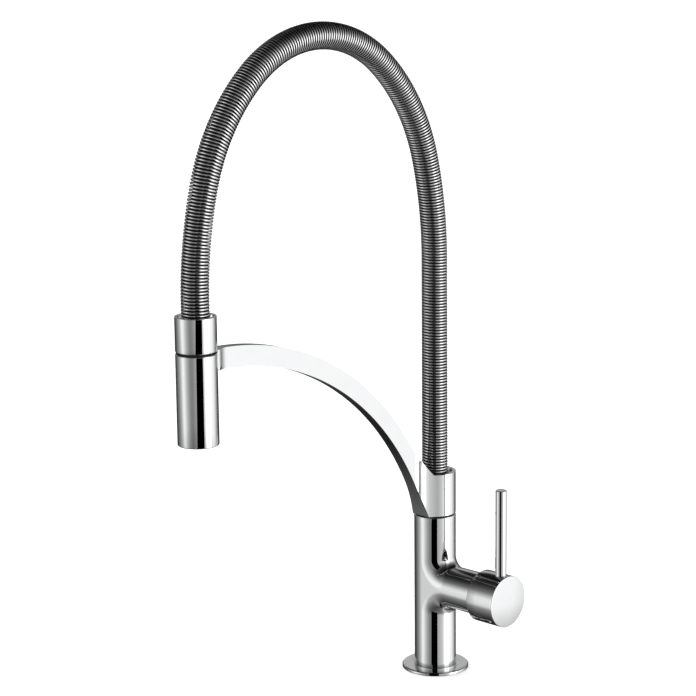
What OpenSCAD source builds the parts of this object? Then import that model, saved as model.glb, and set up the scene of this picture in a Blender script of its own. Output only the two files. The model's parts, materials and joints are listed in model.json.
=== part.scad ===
// Spring-neck kitchen mixer: a slim column stands on the deck, a side branch carries the lever,
// and a flat arm swivels on the column and holds the spray head that hangs from a spring hose.
// Origin: centre of the underside, on the deck. +Z up, arm towards -Y, lever towards +X.

/* [Base] */
// Outside diameter of the round flange on the deck
flange_d = 52; // [44:1:64]
// Height of the flange
flange_h = 2.6; // [2:0.1:5]
// Bevel round the flange's upper edge
flange_bevel = 0.6; // [0.2:0.1:1.2]
// Height of the reduced foot that presses the flange down
foot_h = 1.6; // [1:0.1:1.8]
// Width of the step between the foot and the column
foot_step = 1.5; // [1:0.1:2]
// Middle diameter of the seal under the flange
seal_d = 42; // [38:1:43]
// Width of the seal under the flange
seal_w = 3.8; // [2:0.1:5]
// Depth of the groove that holds the seal
seal_h = 1; // [0.6:0.1:1.4]

/* [Body] */
// Outside diameter of the column, the branch and the collar
body_d = 32.6; // [30:0.2:42]
// Height of the column's top above the deck
body_h = 125.4; // [110:1:180]
// Height of the branch's axis above the deck
branch_z = 69; // [58:1:78]
// Distance from the column's axis to the branch's open end
branch_len = 52; // [46:1:70]
// Radius of the blend where the branch leaves the column
blend_r = 6; // [3:0.5:9]

/* [Inlets] */
// Nominal diameter of the two hose threads
inlet_d = 10; // [8:1:10]
// Depth of the hose threads
inlet_depth = 14; // [10:1:18]
// Distance between the two hose threads
inlet_gap = 14; // [13:1:15]
// Distance of the hose threads from the column's axis, towards the lever
inlet_offset = 5; // [3:0.5:5]
// Nominal diameter of the fixing stud's thread
stud_d = 8; // [6:1:8]
// Depth of the fixing stud's thread
stud_depth = 16; // [10:1:24]
// Distance of the fixing stud from the column's axis, away from the lever
stud_offset = 8; // [7:0.5:9]
// Diameter of the water passages in the casting
passage_d = 7; // [5:0.5:7]

/* [Swivel] */
// Thickness of the dark washer between column and collar
washer_h = 1.2; // [0.8:0.1:3]
// How far the washer's rim lies inside the column's surface
washer_inset = 0.5; // [0.2:0.1:1]
// Outside diameter of the swivel spigot
spigot_d = 22; // [20:0.5:23]
// Inside diameter of the swivel spigot
spigot_bore = 13; // [11:0.5:14]
// Length of the spigot inside the column
spigot_foot = 16; // [10:1:20]
// Length of the spigot above the collar's inner ledge
spigot_head = 4.5; // [3.5:0.1:6]
// Radial clearance of every running fit
fit_gap = 0.05; // [0.02:0.01:0.1]
// Thickness of the O-rings on the spigot
ring_d = 1.7; // [1.4:0.1:2]
// Thickness of the retaining ring
clip_h = 1.2; // [1:0.1:1.5]
// Width of the retaining ring
clip_w = 2.4; // [2:0.1:2.6]

/* [Collar and arm] */
// Height of the collar
collar_h = 33; // [28:1:60]
// Height of the collar's inner ledge above its underside
ledge_h = 19; // [16:1:22]
// Wall of the collar round the spring
collar_wall = 2.9; // [2:0.1:3.4]
// Thickness of the flat arm
arm_t = 8.2; // [6.4:0.2:10]
// Depth of the arm where it meets the spray head
arm_depth = 15; // [12:0.5:20]
// Length of the straight stretch of the arm's upper edge, beside the collar
arm_straight = 49.2; // [20:0.2:80]
// Width of the arm where it meets the collar
root_w = 10.2; // [8:0.2:14]
// Length over which the arm widens towards the collar
taper_len = 150; // [50:1:160]
// Radius of the blend between arm and collar
root_r = 30; // [12:0.5:36]
// Depth by which the arm's upper edge runs in over the collar's rim
root_inset = 3.6; // [2:0.1:5]

/* [Dock] */
// Width of the saddle that the spray head leans against
saddle_w = 15.4; // [12:0.2:18]
// Radius of the flare from the arm into the saddle
flare_r = 18; // [12:0.5:19]
// Thickness of the saddle's rims
saddle_rim = 0.8; // [0.6:0.1:2]
// Gap between the saddle and the spray head
dock_gap = 0.3; // [0.2:0.1:1]
// Width of the dock magnet
magnet_w = 5; // [3:0.5:5]
// Depth of the dock magnet
magnet_t = 2.4; // [1.5:0.1:2.6]
// Height of the dock magnet
magnet_h = 10; // [6:0.5:11]

/* [Hose] */
// Outside diameter of the hose inside the spring
hose_d = 14.8; // [12:0.1:18]
// Gap between the hose and the spring round it
hose_gap = 0.75; // [0.2:0.05:1.2]
// Diameter of the spring's wire
wire_d = 2; // [1.5:0.1:2.2]
// Inside diameter of the hose
hose_bore = 9.2; // [8:0.1:10]
// Straight length of the hose above the spray head
hose_rise = 8.9; // [2:0.1:30]
// Radius of the first, slow bend
slow_r = 300; // [200:5:320]
// Angle of the first bend
slow_a = 15; // [8:1:20]
// Radius of the second bend
mid_r = 145; // [120:5:160]
// Angle from the start of the first bend to the end of the second
mid_a = 50; // [40:1:60]
// Thickness of the ring that the spring stands on
seat_h = 3.7; // [3:0.1:4.5]
// Length of the barbs inside the hose
barb_l = 14; // [8:1:18]

/* [Spray head] */
// Distance from the column's axis to the spray head's axis
reach = 245; // [200:5:300]
// Outside diameter of the spray head
head_d = 29.3; // [28:0.1:36]
// Height of the spray head's lower rim above the deck
head_z = 226.6; // [210:1:235]
// Length of the spray head's lower sleeve
sleeve_l = 64.8; // [50:1:80]
// Wall of the lower sleeve
sleeve_wall = 2; // [1.5:0.1:2.5]
// Height of the dark seam ring
seam_h = 1.2; // [0.8:0.1:2]
// Length of the upper sleeve, on the hose
coupling_l = 25; // [22:1:32]
// Wall of the upper sleeve round the spring
coupling_wall = 2.2; // [1.5:0.1:3]
// Depth of the upper sleeve's mouth, where the spring goes in
mouth_depth = 12.5; // [8:0.5:14]
// Depth of the spray face inside the lower rim
face_depth = 1.2; // [0.5:0.1:3]
// Thickness of the spray face
face_h = 4; // [3:0.1:6]
// Diameter of one spray hole
jet_d = 1.1; // [0.8:0.1:1.4]
// Number of spray holes in the outer ring
jet_count = 14; // [8:1:16]
// Thickness of the steel band that the magnet holds
band_t = 1.2; // [0.8:0.1:1.5]
// Diameter of the swivelling tail inside the head
tail_d = 12; // [10:0.5:13]

/* [Lever] */
// Gap between the branch and the cap round it
cap_gap = 2.3; // [1.5:0.1:4]
// Length of the lever cap
cap_l = 25; // [23:0.5:32]
// Length by which the cap laps over the branch's open end
cap_lap = 2.3; // [1.5:0.1:3]
// Wall of the cap round the branch
cap_wall = 1.4; // [1:0.1:1.5]
// Depth of the cap's hollow
cap_hollow = 10.3; // [10:0.1:12]
// Chamfer on the cap's edges
cap_chamfer = 0.5; // [0.2:0.1:1]
// Diameter of the lever pin
pin_d = 8.7; // [7:0.1:10]
// Height of the pin's top above the branch's axis
pin_h = 86.8; // [50:1:120]
// Distance of the pin's axis from the cap's front face
pin_inset = 7.4; // [6:0.1:8]
// Distance of the pin's lower end from the branch's axis
pin_foot = 12; // [10:0.5:15]
// Diameter of the grub screw
grub_d = 4; // [3:0.5:5]
// Length of the grub screw
grub_l = 8; // [5:0.5:9]

/* [Cartridge] */
// Outside diameter of the cartridge
cart_d = 25.8; // [25:0.2:26]
// Distance from the cartridge's front to the branch's open end, the room for the nut
nut_room = 6; // [5:0.5:7]
// Thickness of the cartridge's base
base_t = 4; // [3:0.5:5]
// Length of the cartridge's housing
housing_l = 24; // [23:0.5:25]
// Wall of the cartridge's housing
housing_wall = 1.9; // [1.5:0.1:2]
// Thickness of the housing's front
housing_front = 3; // [2:0.5:4]
// Thickness of each ceramic disc
disc_t = 3.5; // [3:0.1:4]
// Diameter of the moving disc
moving_d = 16; // [14:0.5:16]
// Distance of the lever's pivot behind the cartridge's front
pivot_back = 2; // [1:0.5:3]
// Distance from the lever's pivot to the ball that pushes the disc
ball_arm = 9; // [8:0.5:9]
// Diameter of that ball
ball_d = 4.8; // [4:0.1:5]
// Width of the stem, along the pivot pin
stem_w = 6; // [5:0.5:6]
// Thickness of the stem
stem_t = 5; // [4:0.5:5]
// Diameter of the pivot pin in the stem
pivot_d = 3; // [2:0.5:3.5]

/* [Hidden] */
$fn = 96;

eps = 0.01;        // overrun of a cutting tool past the face that it opens
slide_gap = 0.02;  // gap between the lapped faces of the ceramic discs
seat_gap = 0.1;    // gap between parts that turn past each other, face to face
split = 0.02;      // gap between the lengths that the hose and the spring are made in
body_r = body_d / 2;
flange_r = flange_d / 2;
foot_r = body_r - foot_step;
bend_r = body_r + blend_r;

// Swivel, from the washer up
collar_z = body_h + washer_h;
collar_top = collar_z + collar_h;
ledge_z = collar_z + ledge_h;
spigot_r = spigot_d / 2;
spigot_top = ledge_z + spigot_head;
recess_r = body_r - collar_wall;
ring_r = ring_d / 2;
ring_zs = [collar_z + ledge_h * 0.25, collar_z + ledge_h * 0.65];
groove_w = ring_d + 0.5;
clip_z = ledge_z + seat_gap;
clip_depth = 0.9;

// Hose route, in the plane x = 0
spring_r = hose_d / 2 + hose_gap + wire_d;
seat_z = spigot_top + seat_gap;
spring_z = seat_z + seat_h;
bend_z = head_z + sleeve_l + seam_h + coupling_l + hose_rise;
half_reach = reach / 2;
top_r = (half_reach - slow_r * (1 - cos(slow_a)) - mid_r * (cos(slow_a) - cos(mid_a))) / cos(mid_a);
slow_c = [-slow_r, bend_z];
mid_c = slow_c + (slow_r - mid_r) * [cos(slow_a), sin(slow_a)];
top_c = mid_c + (mid_r - top_r) * [cos(mid_a), sin(mid_a)];

// Spray head, from the lower rim up
head_r = head_d / 2;
seam_z = head_z + sleeve_l;
coupling_z = seam_z + seam_h;
coupling_top = coupling_z + coupling_l;
mouth_z = coupling_top - mouth_depth;
sleeve_r = head_r - sleeve_wall;
band_h = arm_depth - 2;
band_z = seam_z - band_h - 1;
core_r = sleeve_r - band_t;
face_z = head_z + face_depth;
core_z = face_z + face_h + 1.5;
tail_r = tail_d / 2;
tail_z = seam_z - 14;
valve_l = 14;
valve_z = tail_z - valve_l - 1;

// Arm, whose upper edge is level with the head's seam
arm_top_z = coupling_z;
dock_y = -(reach - head_r - dock_gap);
under_rise = arm_top_z - arm_depth - collar_z;
under_run = -body_r - dock_y;
under_r = (under_run * under_run + under_rise * under_rise) / (2 * under_rise);
arm_half = arm_t / 2;
root_half = root_w / 2;
root_y = -body_r;
root_slope = (root_half - arm_half) / taper_len;
head_c = [0, -reach];

// Lever and cartridge, along the branch
cart_r = cart_d / 2;
bore_r = cart_r + fit_gap;
nut_r = cart_r + 1.5;
housing_end = branch_len - nut_room;
housing_x = housing_end - housing_l;
seat_x = housing_x - base_t;
pivot_x = housing_end - pivot_back;
housing_r = cart_r - housing_wall;
neck_r = housing_r - 2;
disc_x = housing_x + disc_t + slide_gap;
driver_x = disc_x + disc_t;
ball_x = pivot_x - ball_arm;
carrier_x = ball_x + ball_d / 2 + 0.1;
carrier_end = housing_end + 2;
cap_r = body_r + cap_gap + cap_wall;
cap_x = branch_len - cap_lap;
cap_end = cap_x + cap_l;
pin_x = cap_end - pin_inset;
solid_x = cap_x + cap_hollow;
hub_r = 7;
hub_x = branch_len + 4;
stem_end = solid_x + 5;
port_r = 2.6;
port_seal_r = 3.9;
ports = [[5, -4.2], [-5, -4.2], [0, 6.5]];

chrome = "gainsboro";
brass = "goldenrod";
dark = [0.08, 0.08, 0.08];
plastic = "slategray";

// Turns a shape built along +Z to lie along +X at the branch's height
module along_branch(x = 0) {
    translate([x, 0, branch_z]) rotate([0, 90, 0]) children();
}

// Turns a flat shape drawn in (y, z) into the plane x = 0
module side_plane() {
    rotate([90, 0, 90]) children();
}

module tube(outer, inner, height) {
    difference() {
        cylinder(r = outer, h = height);
        translate([0, 0, -eps]) cylinder(r = inner, h = height + 2 * eps);
    }
}

module ring(middle, thick) {
    rotate_extrude() translate([middle, 0]) circle(r = thick / 2, $fn = 48);
}

// A cylinder whose upper edge has a straight chamfer
module chamfered(radius, height, cut) {
    cylinder(r = radius, h = height - cut);
    translate([0, 0, height - cut]) cylinder(r1 = radius, r2 = radius - cut, h = cut);
}

// ---- base ----

module base_flange() {
    color(chrome) difference() {
        chamfered(flange_r, flange_h, flange_bevel);
        translate([0, 0, -eps]) cylinder(r = foot_r + fit_gap, h = flange_h);
        translate([0, 0, foot_h]) cylinder(r = body_r + fit_gap, h = flange_h);
        translate([0, 0, -eps]) tube((seal_d + seal_w) / 2 + fit_gap, (seal_d - seal_w) / 2 - fit_gap, seal_h + eps);
    }
}

module base_seal() {
    color(dark) tube((seal_d + seal_w) / 2, (seal_d - seal_w) / 2, seal_h);
}

// ---- body ----

// Web that rounds the corner above the branch. Each slice across the branch is a corner between two
// straight sides, filled to an arc that is tangent to both, so the blend fades out at the cheeks.
module branch_web() {
    slices = 24;
    steps = 8;
    sink = 0.05;
    overrun = 0.3;
    sections = [for (i = [0 : slices]) let (
        y = (body_r - 0.02) * sin(-90 + 180 * i / slices),
        a = sqrt(body_r * body_r - y * y),
        under = a - min(sink, a / 4)
    ) concat(
        [[a / 2, y, a / 2], [under, y, bend_r + overrun]],
        [for (k = [0 : steps]) let (t = 180 + 90 * k / steps)
            [bend_r + (bend_r - a) * cos(t), y, bend_r + (bend_r - a) * sin(t)]],
        [[bend_r + overrun, y, under]]
    )];
    n = steps + 4;
    walls = [for (i = [0 : slices - 1], k = [0 : n - 1]) let (p = i * n + k, q = i * n + (k + 1) % n)
        each [[p, p + n, q], [q, p + n, q + n]]];
    first = [for (k = [1 : n - 2]) [0, k, k + 1]];
    last = [for (k = [1 : n - 2]) slices * n * [1, 1, 1] + [0, k + 1, k]];
    polyhedron([for (s = sections) each s], concat(walls, first, last));
}

module body_outside() {
    translate([0, 0, foot_h]) cylinder(r = body_r, h = body_h - foot_h);
    cylinder(r = foot_r, h = foot_h + eps);
    along_branch() cylinder(r = body_r, h = branch_len);
    translate([0, 0, branch_z]) {
        branch_web();
        mirror([0, 0, 1]) branch_web();
    }
}

// Hot and cold water rise from the hose threads and turn into the cartridge's seat
module supply_passage(side) {
    y = side * inlet_gap / 2;
    translate([inlet_offset, y, -eps]) cylinder(d = inlet_d, h = inlet_depth + eps);
    translate([inlet_offset, y, 0]) cylinder(d = passage_d, h = branch_z + ports[1][1] + port_r);
    translate([inlet_offset, side * ports[0][0], branch_z + ports[0][1]]) rotate([0, 90, 0])
        cylinder(r = port_r, h = seat_x - inlet_offset + eps);
}

// Mixed water leaves the cartridge and rises to the spigot
module outlet_passage() {
    outlet_z = branch_z + ports[2][1];
    translate([0, 0, outlet_z]) rotate([0, 90, 0]) cylinder(r = port_r, h = seat_x + eps);
    translate([0, 0, outlet_z - port_r]) cylinder(d = spigot_bore, h = body_h - outlet_z);
    translate([0, 0, body_h - spigot_foot]) cylinder(r = spigot_r, h = spigot_foot + eps);
}

module body_casting() {
    color(chrome) difference() {
        body_outside();
        for (side = [-1, 1]) supply_passage(side);
        outlet_passage();
        translate([-stud_offset, 0, -eps]) cylinder(d = stud_d, h = stud_depth + eps);
        along_branch(seat_x) cylinder(r = bore_r, h = branch_len);
        along_branch(housing_end) cylinder(r = nut_r, h = branch_len);
    }
}

// ---- swivel ----

module swivel_washer() {
    color(dark) translate([0, 0, body_h]) tube(body_r - washer_inset, spigot_r + fit_gap, washer_h);
}

module ring_groove(z, width, depth) {
    translate([0, 0, z - width / 2]) tube(spigot_r + 1, spigot_r - depth, width);
}

module swivel_spigot() {
    color(brass) difference() {
        translate([0, 0, body_h - spigot_foot]) tube(spigot_r, spigot_bore / 2, spigot_top - body_h + spigot_foot);
        for (z = ring_zs) ring_groove(z, groove_w, ring_d + 0.05);
        ring_groove(clip_z + clip_h / 2, clip_h, clip_depth);
    }
}

module spigot_o_rings() {
    color(dark) for (z = ring_zs) translate([0, 0, z]) ring(spigot_r - ring_r, ring_d);
}

module retaining_ring() {
    color("silver") translate([0, 0, clip_z]) difference() {
        tube(spigot_r - clip_depth + clip_w, spigot_r - clip_depth, clip_h);
        translate([0, spigot_r / 2, -eps]) translate([-1.5, 0, 0]) cube([3, spigot_r, clip_h + 2 * eps]);
    }
}

// ---- cartridge ----

// Holes at the cartridge's three ports, along the branch
module at_ports() {
    for (p = ports) translate([-p[1], p[0], 0]) children();
}

module cartridge_base() {
    color("white") along_branch(seat_x) difference() {
        cylinder(r = cart_r, h = base_t);
        at_ports() translate([0, 0, -eps]) cylinder(r = port_r, h = base_t + 2 * eps, $fn = 48);
        at_ports() translate([0, 0, -eps]) cylinder(r = port_seal_r + fit_gap, h = 1.5 + eps, $fn = 48);
    }
}

module cartridge_seals() {
    color(dark) along_branch(seat_x) at_ports() tube(port_seal_r, port_r + 0.2, 1.5);
}

module fixed_disc() {
    color("ivory") along_branch(housing_x) difference() {
        cylinder(r = housing_r - 0.2, h = disc_t);
        at_ports() translate([0, 0, -eps]) cylinder(r = port_r, h = disc_t + 2 * eps, $fn = 48);
    }
}

module cartridge_housing() {
    color(plastic) along_branch(housing_x) difference() {
        cylinder(r = cart_r, h = housing_l);
        translate([0, 0, -eps]) cylinder(r = housing_r, h = housing_l - housing_front + eps);
        cylinder(r = neck_r + fit_gap, h = housing_l + eps);
    }
}

// Ring nut with a hexagon hole for the key
module cartridge_nut() {
    color(brass) along_branch(housing_end) difference() {
        cylinder(r = nut_r - fit_gap, h = branch_len - housing_end - 0.5);
        translate([0, 0, -eps]) cylinder(r = neck_r + 1.6, h = branch_len, $fn = 6);
    }
}

// Slot that the stem swings in, drawn in (z, y) of the cartridge
module stem_slot(length) {
    low = 4.5;
    high = 6.4;
    translate([-high, -stem_w / 2 - 0.1, -eps]) cube([low + high, stem_w + 0.2, length + 2 * eps]);
}

module cartridge_carrier() {
    wide = housing_end - housing_front - seat_gap - carrier_x;
    color("white") difference() {
        along_branch(carrier_x) {
            cylinder(r = housing_r - 0.1, h = wide);
            cylinder(r = neck_r, h = carrier_end - carrier_x);
        }
        along_branch(carrier_x) stem_slot(carrier_end - carrier_x);
        translate([pivot_x, -neck_r - 1, branch_z]) rotate([-90, 0, 0])
            cylinder(d = pivot_d, h = 2 * neck_r + 2, $fn = 48);
    }
}

module pivot_pin() {
    length = 2 * neck_r - 1;
    color("silver") translate([pivot_x, -length / 2, branch_z]) rotate([-90, 0, 0])
        cylinder(d = pivot_d, h = length, $fn = 48);
}

// The moving disc has one pocket that joins the ports below it
module moving_disc() {
    color("ivory") along_branch(disc_x) difference() {
        cylinder(d = moving_d, h = disc_t);
        translate([0, 0, -eps]) cylinder(r = moving_d / 4, h = disc_t / 2);
    }
}

module disc_driver() {
    length = carrier_x - driver_x - 1;
    pocket = ball_d + 0.3;
    depth = ball_x - ball_d / 2 - 0.3 - driver_x;
    color("white") along_branch(driver_x) difference() {
        cylinder(r = moving_d / 2 - 0.2, h = length);
        translate([-pocket / 2, -pocket / 2, depth]) cube([pocket, pocket, length]);
    }
}

module cartridge_stem() {
    neck = ball_x + 4;
    color("silver") difference() {
        union() {
            along_branch(ball_x) sphere(d = ball_d);
            along_branch(ball_x) cylinder(d = 3.4, h = 5, $fn = 48);
            along_branch(neck) translate([-stem_t / 2, -stem_w / 2, 0]) cube([stem_t, stem_w, stem_end - neck]);
        }
        translate([pivot_x, -stem_w, branch_z]) rotate([-90, 0, 0])
            cylinder(r = pivot_d / 2 + fit_gap, h = 2 * stem_w, $fn = 48);
    }
}

// ---- lever ----

module lever_cap() {
    color(chrome) difference() {
        along_branch(cap_x) {
            translate([0, 0, cap_chamfer]) chamfered(cap_r, cap_l - cap_chamfer, cap_chamfer);
            cylinder(r1 = cap_r - cap_chamfer, r2 = cap_r, h = cap_chamfer);
        }
        along_branch(cap_x - eps) tube(cap_r - cap_wall, hub_r, cap_hollow + eps);
        along_branch(cap_x - eps) cylinder(r = hub_r + eps, h = hub_x - cap_x);
        along_branch(hub_x - 1) translate([-stem_t / 2, -stem_w / 2, 0]) cube([stem_t, stem_w, stem_end - hub_x + 1]);
        translate([pin_x, 0, branch_z + pin_foot]) cylinder(d = pin_d, h = cap_r);
        translate([solid_x + grub_d / 2 + 0.8, 0, branch_z - 2 * cap_r]) cylinder(d = grub_d, h = 2 * cap_r - stem_t / 2);
    }
}

module lever_pin() {
    color(chrome) translate([pin_x, 0, branch_z + pin_foot]) chamfered(pin_d / 2, pin_h - pin_foot, 0.5);
}

module grub_screw() {
    color("dimgray") translate([solid_x + grub_d / 2 + 0.8, 0, branch_z - stem_t / 2 - grub_l]) difference() {
        cylinder(d = grub_d, h = grub_l);
        translate([0, 0, -eps]) cylinder(d = grub_d * 0.55, h = grub_l / 3, $fn = 6);
    }
}

// ---- collar and arm ----

// The arm's upper edge is an arc, level at the spray head, then a straight that is tangent to it and
// ends on the collar's rim
rim_point = [-body_r + root_inset, collar_top];
top_run = rim_point[0] - dock_y;
top_rise = arm_top_z - collar_top;
arm_top_r = (top_run * top_run + top_rise * top_rise - arm_straight * arm_straight) / (2 * top_rise);
top_edge_c = [dock_y, arm_top_z - arm_top_r];
rim_run = rim_point - top_edge_c;
leave_a = atan2(rim_run[1], rim_run[0]) + acos(arm_top_r / norm(rim_run));
under_c = [dock_y, arm_top_z - arm_depth - under_r];
under_a = atan2(collar_z - under_c[1], -body_r - under_c[0]);

function arc(c, r, from, to, steps) =
    [for (i = [0 : steps]) let (a = from + (to - from) * i / steps) c + r * [cos(a), sin(a)]];

// Side view of the arm in (y, z)
module arm_side() {
    polygon(concat(
        [[-reach, arm_top_z - arm_depth], [-reach, arm_top_z]],
        arc(top_edge_c, arm_top_r, 90, leave_a, 28),
        [rim_point, [0, collar_top], [0, collar_z]],
        arc(under_c, under_r, under_a, 90, 28)
    ));
}

// Centre of the blend that touches the arm's face and the collar
blend_a = root_half - root_slope * root_y + root_r * sqrt(1 + root_slope * root_slope);
blend_q = 1 + root_slope * root_slope;
blend_h = blend_a * root_slope;
blend_k = blend_a * blend_a - (body_r + root_r) * (body_r + root_r);
blend_y = (-blend_h - sqrt(blend_h * blend_h - blend_q * blend_k)) / blend_q;
blend_c = [blend_a + root_slope * blend_y, blend_y];
blend_face = blend_c - root_r * [1, -root_slope] / sqrt(blend_q);
blend_collar = blend_c * body_r / (body_r + root_r);
flare_c = [arm_half + flare_r, -reach + sqrt(pow(head_r + dock_gap + saddle_rim + flare_r, 2) - pow(arm_half + flare_r, 2))];

// Plan view of one half of the arm in (x, y)
module arm_half_plan() {
    polygon([
        [0, 0], [0, dock_y - 1], [arm_half, dock_y - 1],
        [arm_half, root_y - taper_len], [root_half, root_y], [root_half, 0],
    ]);
    difference() {
        polygon([[0, 0], blend_collar, blend_c, blend_face, [0, blend_face[1]]]);
        translate(blend_c) circle(r = root_r);
    }
    difference() {
        translate([0, -reach]) square([saddle_w / 2, flare_c[1] + reach]);
        translate(flare_c) circle(r = flare_r);
    }
}

module arm_plan() {
    difference() {
        union() {
            arm_half_plan();
            mirror([1, 0]) arm_half_plan();
        }
        translate(head_c) circle(r = head_r + dock_gap);
        translate([-saddle_w, -reach - head_r]) square([2 * saddle_w, head_r]);
    }
}

module magnet_block(gap) {
    y = dock_y - 0.4;
    translate([-magnet_w / 2 - gap, y - (gap > 0 ? 2 : 0), arm_top_z - arm_depth / 2 - magnet_h / 2 - gap])
        cube([magnet_w + 2 * gap, magnet_t + (gap > 0 ? 2 + gap : 0), magnet_h + 2 * gap]);
}

module support_arm() {
    color(chrome) difference() {
        union() {
            intersection() {
                translate([-body_r, 0, 0]) side_plane() linear_extrude(height = body_d) arm_side();
                translate([0, 0, collar_z]) linear_extrude(height = arm_top_z) arm_plan();
            }
            translate([0, 0, collar_z]) cylinder(r = body_r, h = collar_h);
        }
        translate([0, 0, collar_z - eps]) cylinder(r = spigot_r + fit_gap, h = collar_h);
        translate([0, 0, ledge_z]) cylinder(r = recess_r, h = collar_h);
        magnet_block(fit_gap);
    }
}

module dock_magnet() {
    color("dimgray") intersection() {
        magnet_block(0);
        translate([0, -reach, 0]) difference() {
            cylinder(r = reach, h = 2 * arm_top_z);
            cylinder(r = head_r + dock_gap + 0.2, h = 2 * arm_top_z);
        }
    }
}

// ---- hose ----

module spring_seat() {
    color(brass) translate([0, 0, seat_z]) tube(recess_r - fit_gap, hose_d / 2 + 0.6, seat_h);
}

module hose_tail() {
    insert = spigot_head + 8;
    color(brass) difference() {
        translate([0, 0, spigot_top - insert]) {
            cylinder(r = spigot_bore / 2 - fit_gap, h = insert);
            translate([0, 0, insert]) cylinder(r = hose_d / 2 + 0.5, h = seat_h + seat_gap);
            cylinder(r = hose_bore / 2 - fit_gap, h = insert + seat_h + seat_gap + barb_l);
        }
        translate([0, 0, spigot_top - insert - eps]) cylinder(d = hose_bore - 3, h = insert + seat_h + barb_l + 1);
        translate([0, 0, spigot_top - insert / 2 - 1]) tube(spigot_bore, spigot_bore / 2 - 1.35, 1.8);
    }
}

module hose_tail_o_ring() {
    insert = spigot_head + 8;
    color(dark) translate([0, 0, spigot_top - insert / 2 - 0.1]) ring(spigot_bore / 2 - 0.7, 1.2);
}

// One bend of the hose, in the plane x = 0. It stops a hair short of the next length.
module bend(c, r, from, to) {
    translate([0, c[0], c[1]]) side_plane() rotate([0, 0, from])
        rotate_extrude(angle = to - from - split * 180 / (PI * r)) translate([r, 0]) children();
}

// The two bends on one side of the arch
module arch_side() {
    bend(slow_c, slow_r, 0, slow_a) children();
    bend(mid_c, mid_r, slow_a, mid_a) children();
}

// A pipe in seven lengths from the spring seat over the arch into the spray head
module hose_route(outer, inner, start_z, end_z) {
    translate([0, 0, start_z]) tube(outer, inner, bend_z - start_z - split);
    translate([0, -reach, end_z]) tube(outer, inner, bend_z - end_z - split);
    arch_side() hose_section(outer, inner);
    translate([0, -reach, 0]) mirror([0, 1, 0]) arch_side() hose_section(outer, inner);
    bend(top_c, top_r, mid_a, 180 - mid_a) hose_section(outer, inner);
}

module hose_section(outer, inner) {
    difference() {
        circle(r = outer, $fn = 48);
        circle(r = inner, $fn = 48);
    }
}

module hose_spring() {
    color("silver") hose_route(spring_r, spring_r - wire_d, spring_z, mouth_z + seat_gap);
}

module inner_hose() {
    color(dark) hose_route(hose_d / 2, hose_bore / 2, spring_z, mouth_z + seat_gap);
}

// ---- spray head ----

module at_head(z) {
    translate([0, -reach, z]) children();
}

module hose_coupling() {
    color(chrome) at_head(coupling_z) difference() {
        chamfered(head_r, coupling_l, 0.4);
        translate([0, 0, coupling_l - mouth_depth]) cylinder(r = head_r - coupling_wall, h = coupling_l);
        translate([0, 0, -eps]) cylinder(r = head_r - 4.5, h = coupling_l);
    }
}

// Brass fitting: a barb in the hose, a shoulder in the coupling and a tail that the head turns on
module coupling_fitting() {
    shoulder = mouth_z - coupling_z;
    color(brass) at_head(tail_z) difference() {
        union() {
            cylinder(r = tail_r, h = mouth_z - tail_z);
            translate([0, 0, coupling_z + seat_gap - tail_z]) cylinder(r = head_r - 4.5 - fit_gap, h = shoulder - seat_gap);
            cylinder(r = hose_bore / 2 - fit_gap, h = mouth_z - tail_z + barb_l);
        }
        translate([0, 0, -eps]) cylinder(d = hose_bore - 3, h = mouth_z - tail_z + barb_l + 1);
        translate([0, 0, 5]) tube(tail_r + 1, tail_r - 1.35, 1.8);
    }
}

module fitting_o_ring() {
    color(dark) at_head(tail_z + 5.9) ring(tail_r - 0.7, 1.2);
}

module seam_ring() {
    color(dark) at_head(seam_z) tube(head_r - 0.5, tail_r + 0.3, seam_h);
}

module spray_sleeve() {
    color(chrome) at_head(head_z) difference() {
        union() {
            translate([0, 0, 0.4]) chamfered(head_r, sleeve_l - 0.4, 0.4);
            cylinder(r1 = head_r - 0.4, r2 = head_r, h = 0.4);
        }
        translate([0, 0, -eps]) cylinder(r = sleeve_r, h = sleeve_l + 2 * eps);
    }
}

module steel_band() {
    color("silver") at_head(band_z) tube(sleeve_r - fit_gap, core_r + fit_gap, band_h);
}

// Plastic core: socket for the swivelling tail, room for the check valve, waterway to the face
module head_core() {
    color(plastic) at_head(core_z) difference() {
        union() {
            cylinder(r = sleeve_r - fit_gap, h = band_z - core_z - seat_gap);
            cylinder(r = core_r, h = seam_z - core_z);
        }
        translate([0, 0, -eps]) cylinder(r = sleeve_r - 2.5, h = 12);
        cylinder(d = hose_bore - 1, h = seam_z - core_z);
        translate([0, 0, valve_z - core_z]) cylinder(r = tail_r + fit_gap, h = seam_z - valve_z + eps);
    }
}

module check_valve() {
    color("royalblue") at_head(valve_z) difference() {
        cylinder(r = tail_r, h = valve_l);
        translate([0, 0, -eps]) cylinder(r = tail_r - 2.2, h = valve_l - 3);
        for (i = [0 : 2]) rotate([0, 0, 120 * i]) translate([tail_r / 2, 0, 0]) cylinder(r = 1.4, h = valve_l + 1, $fn = 24);
    }
}

module jets(count, radius, height) {
    for (i = [0 : count - 1]) rotate([0, 0, 360 * i / count]) translate([radius, 0, -1])
        cylinder(d = jet_d, h = height + 2, $fn = 24);
}

module spray_face() {
    color(plastic) at_head(face_z) difference() {
        cylinder(r = sleeve_r - fit_gap, h = face_h);
        jets(jet_count, sleeve_r - 3, face_h);
        jets(ceil(jet_count / 2), sleeve_r - 6.5, face_h);
        jets(1, 0, face_h);
    }
}

module face_seal() {
    color(dark) at_head(face_z + face_h) tube(sleeve_r - fit_gap, sleeve_r - 2.2, 1.5);
}

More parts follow.
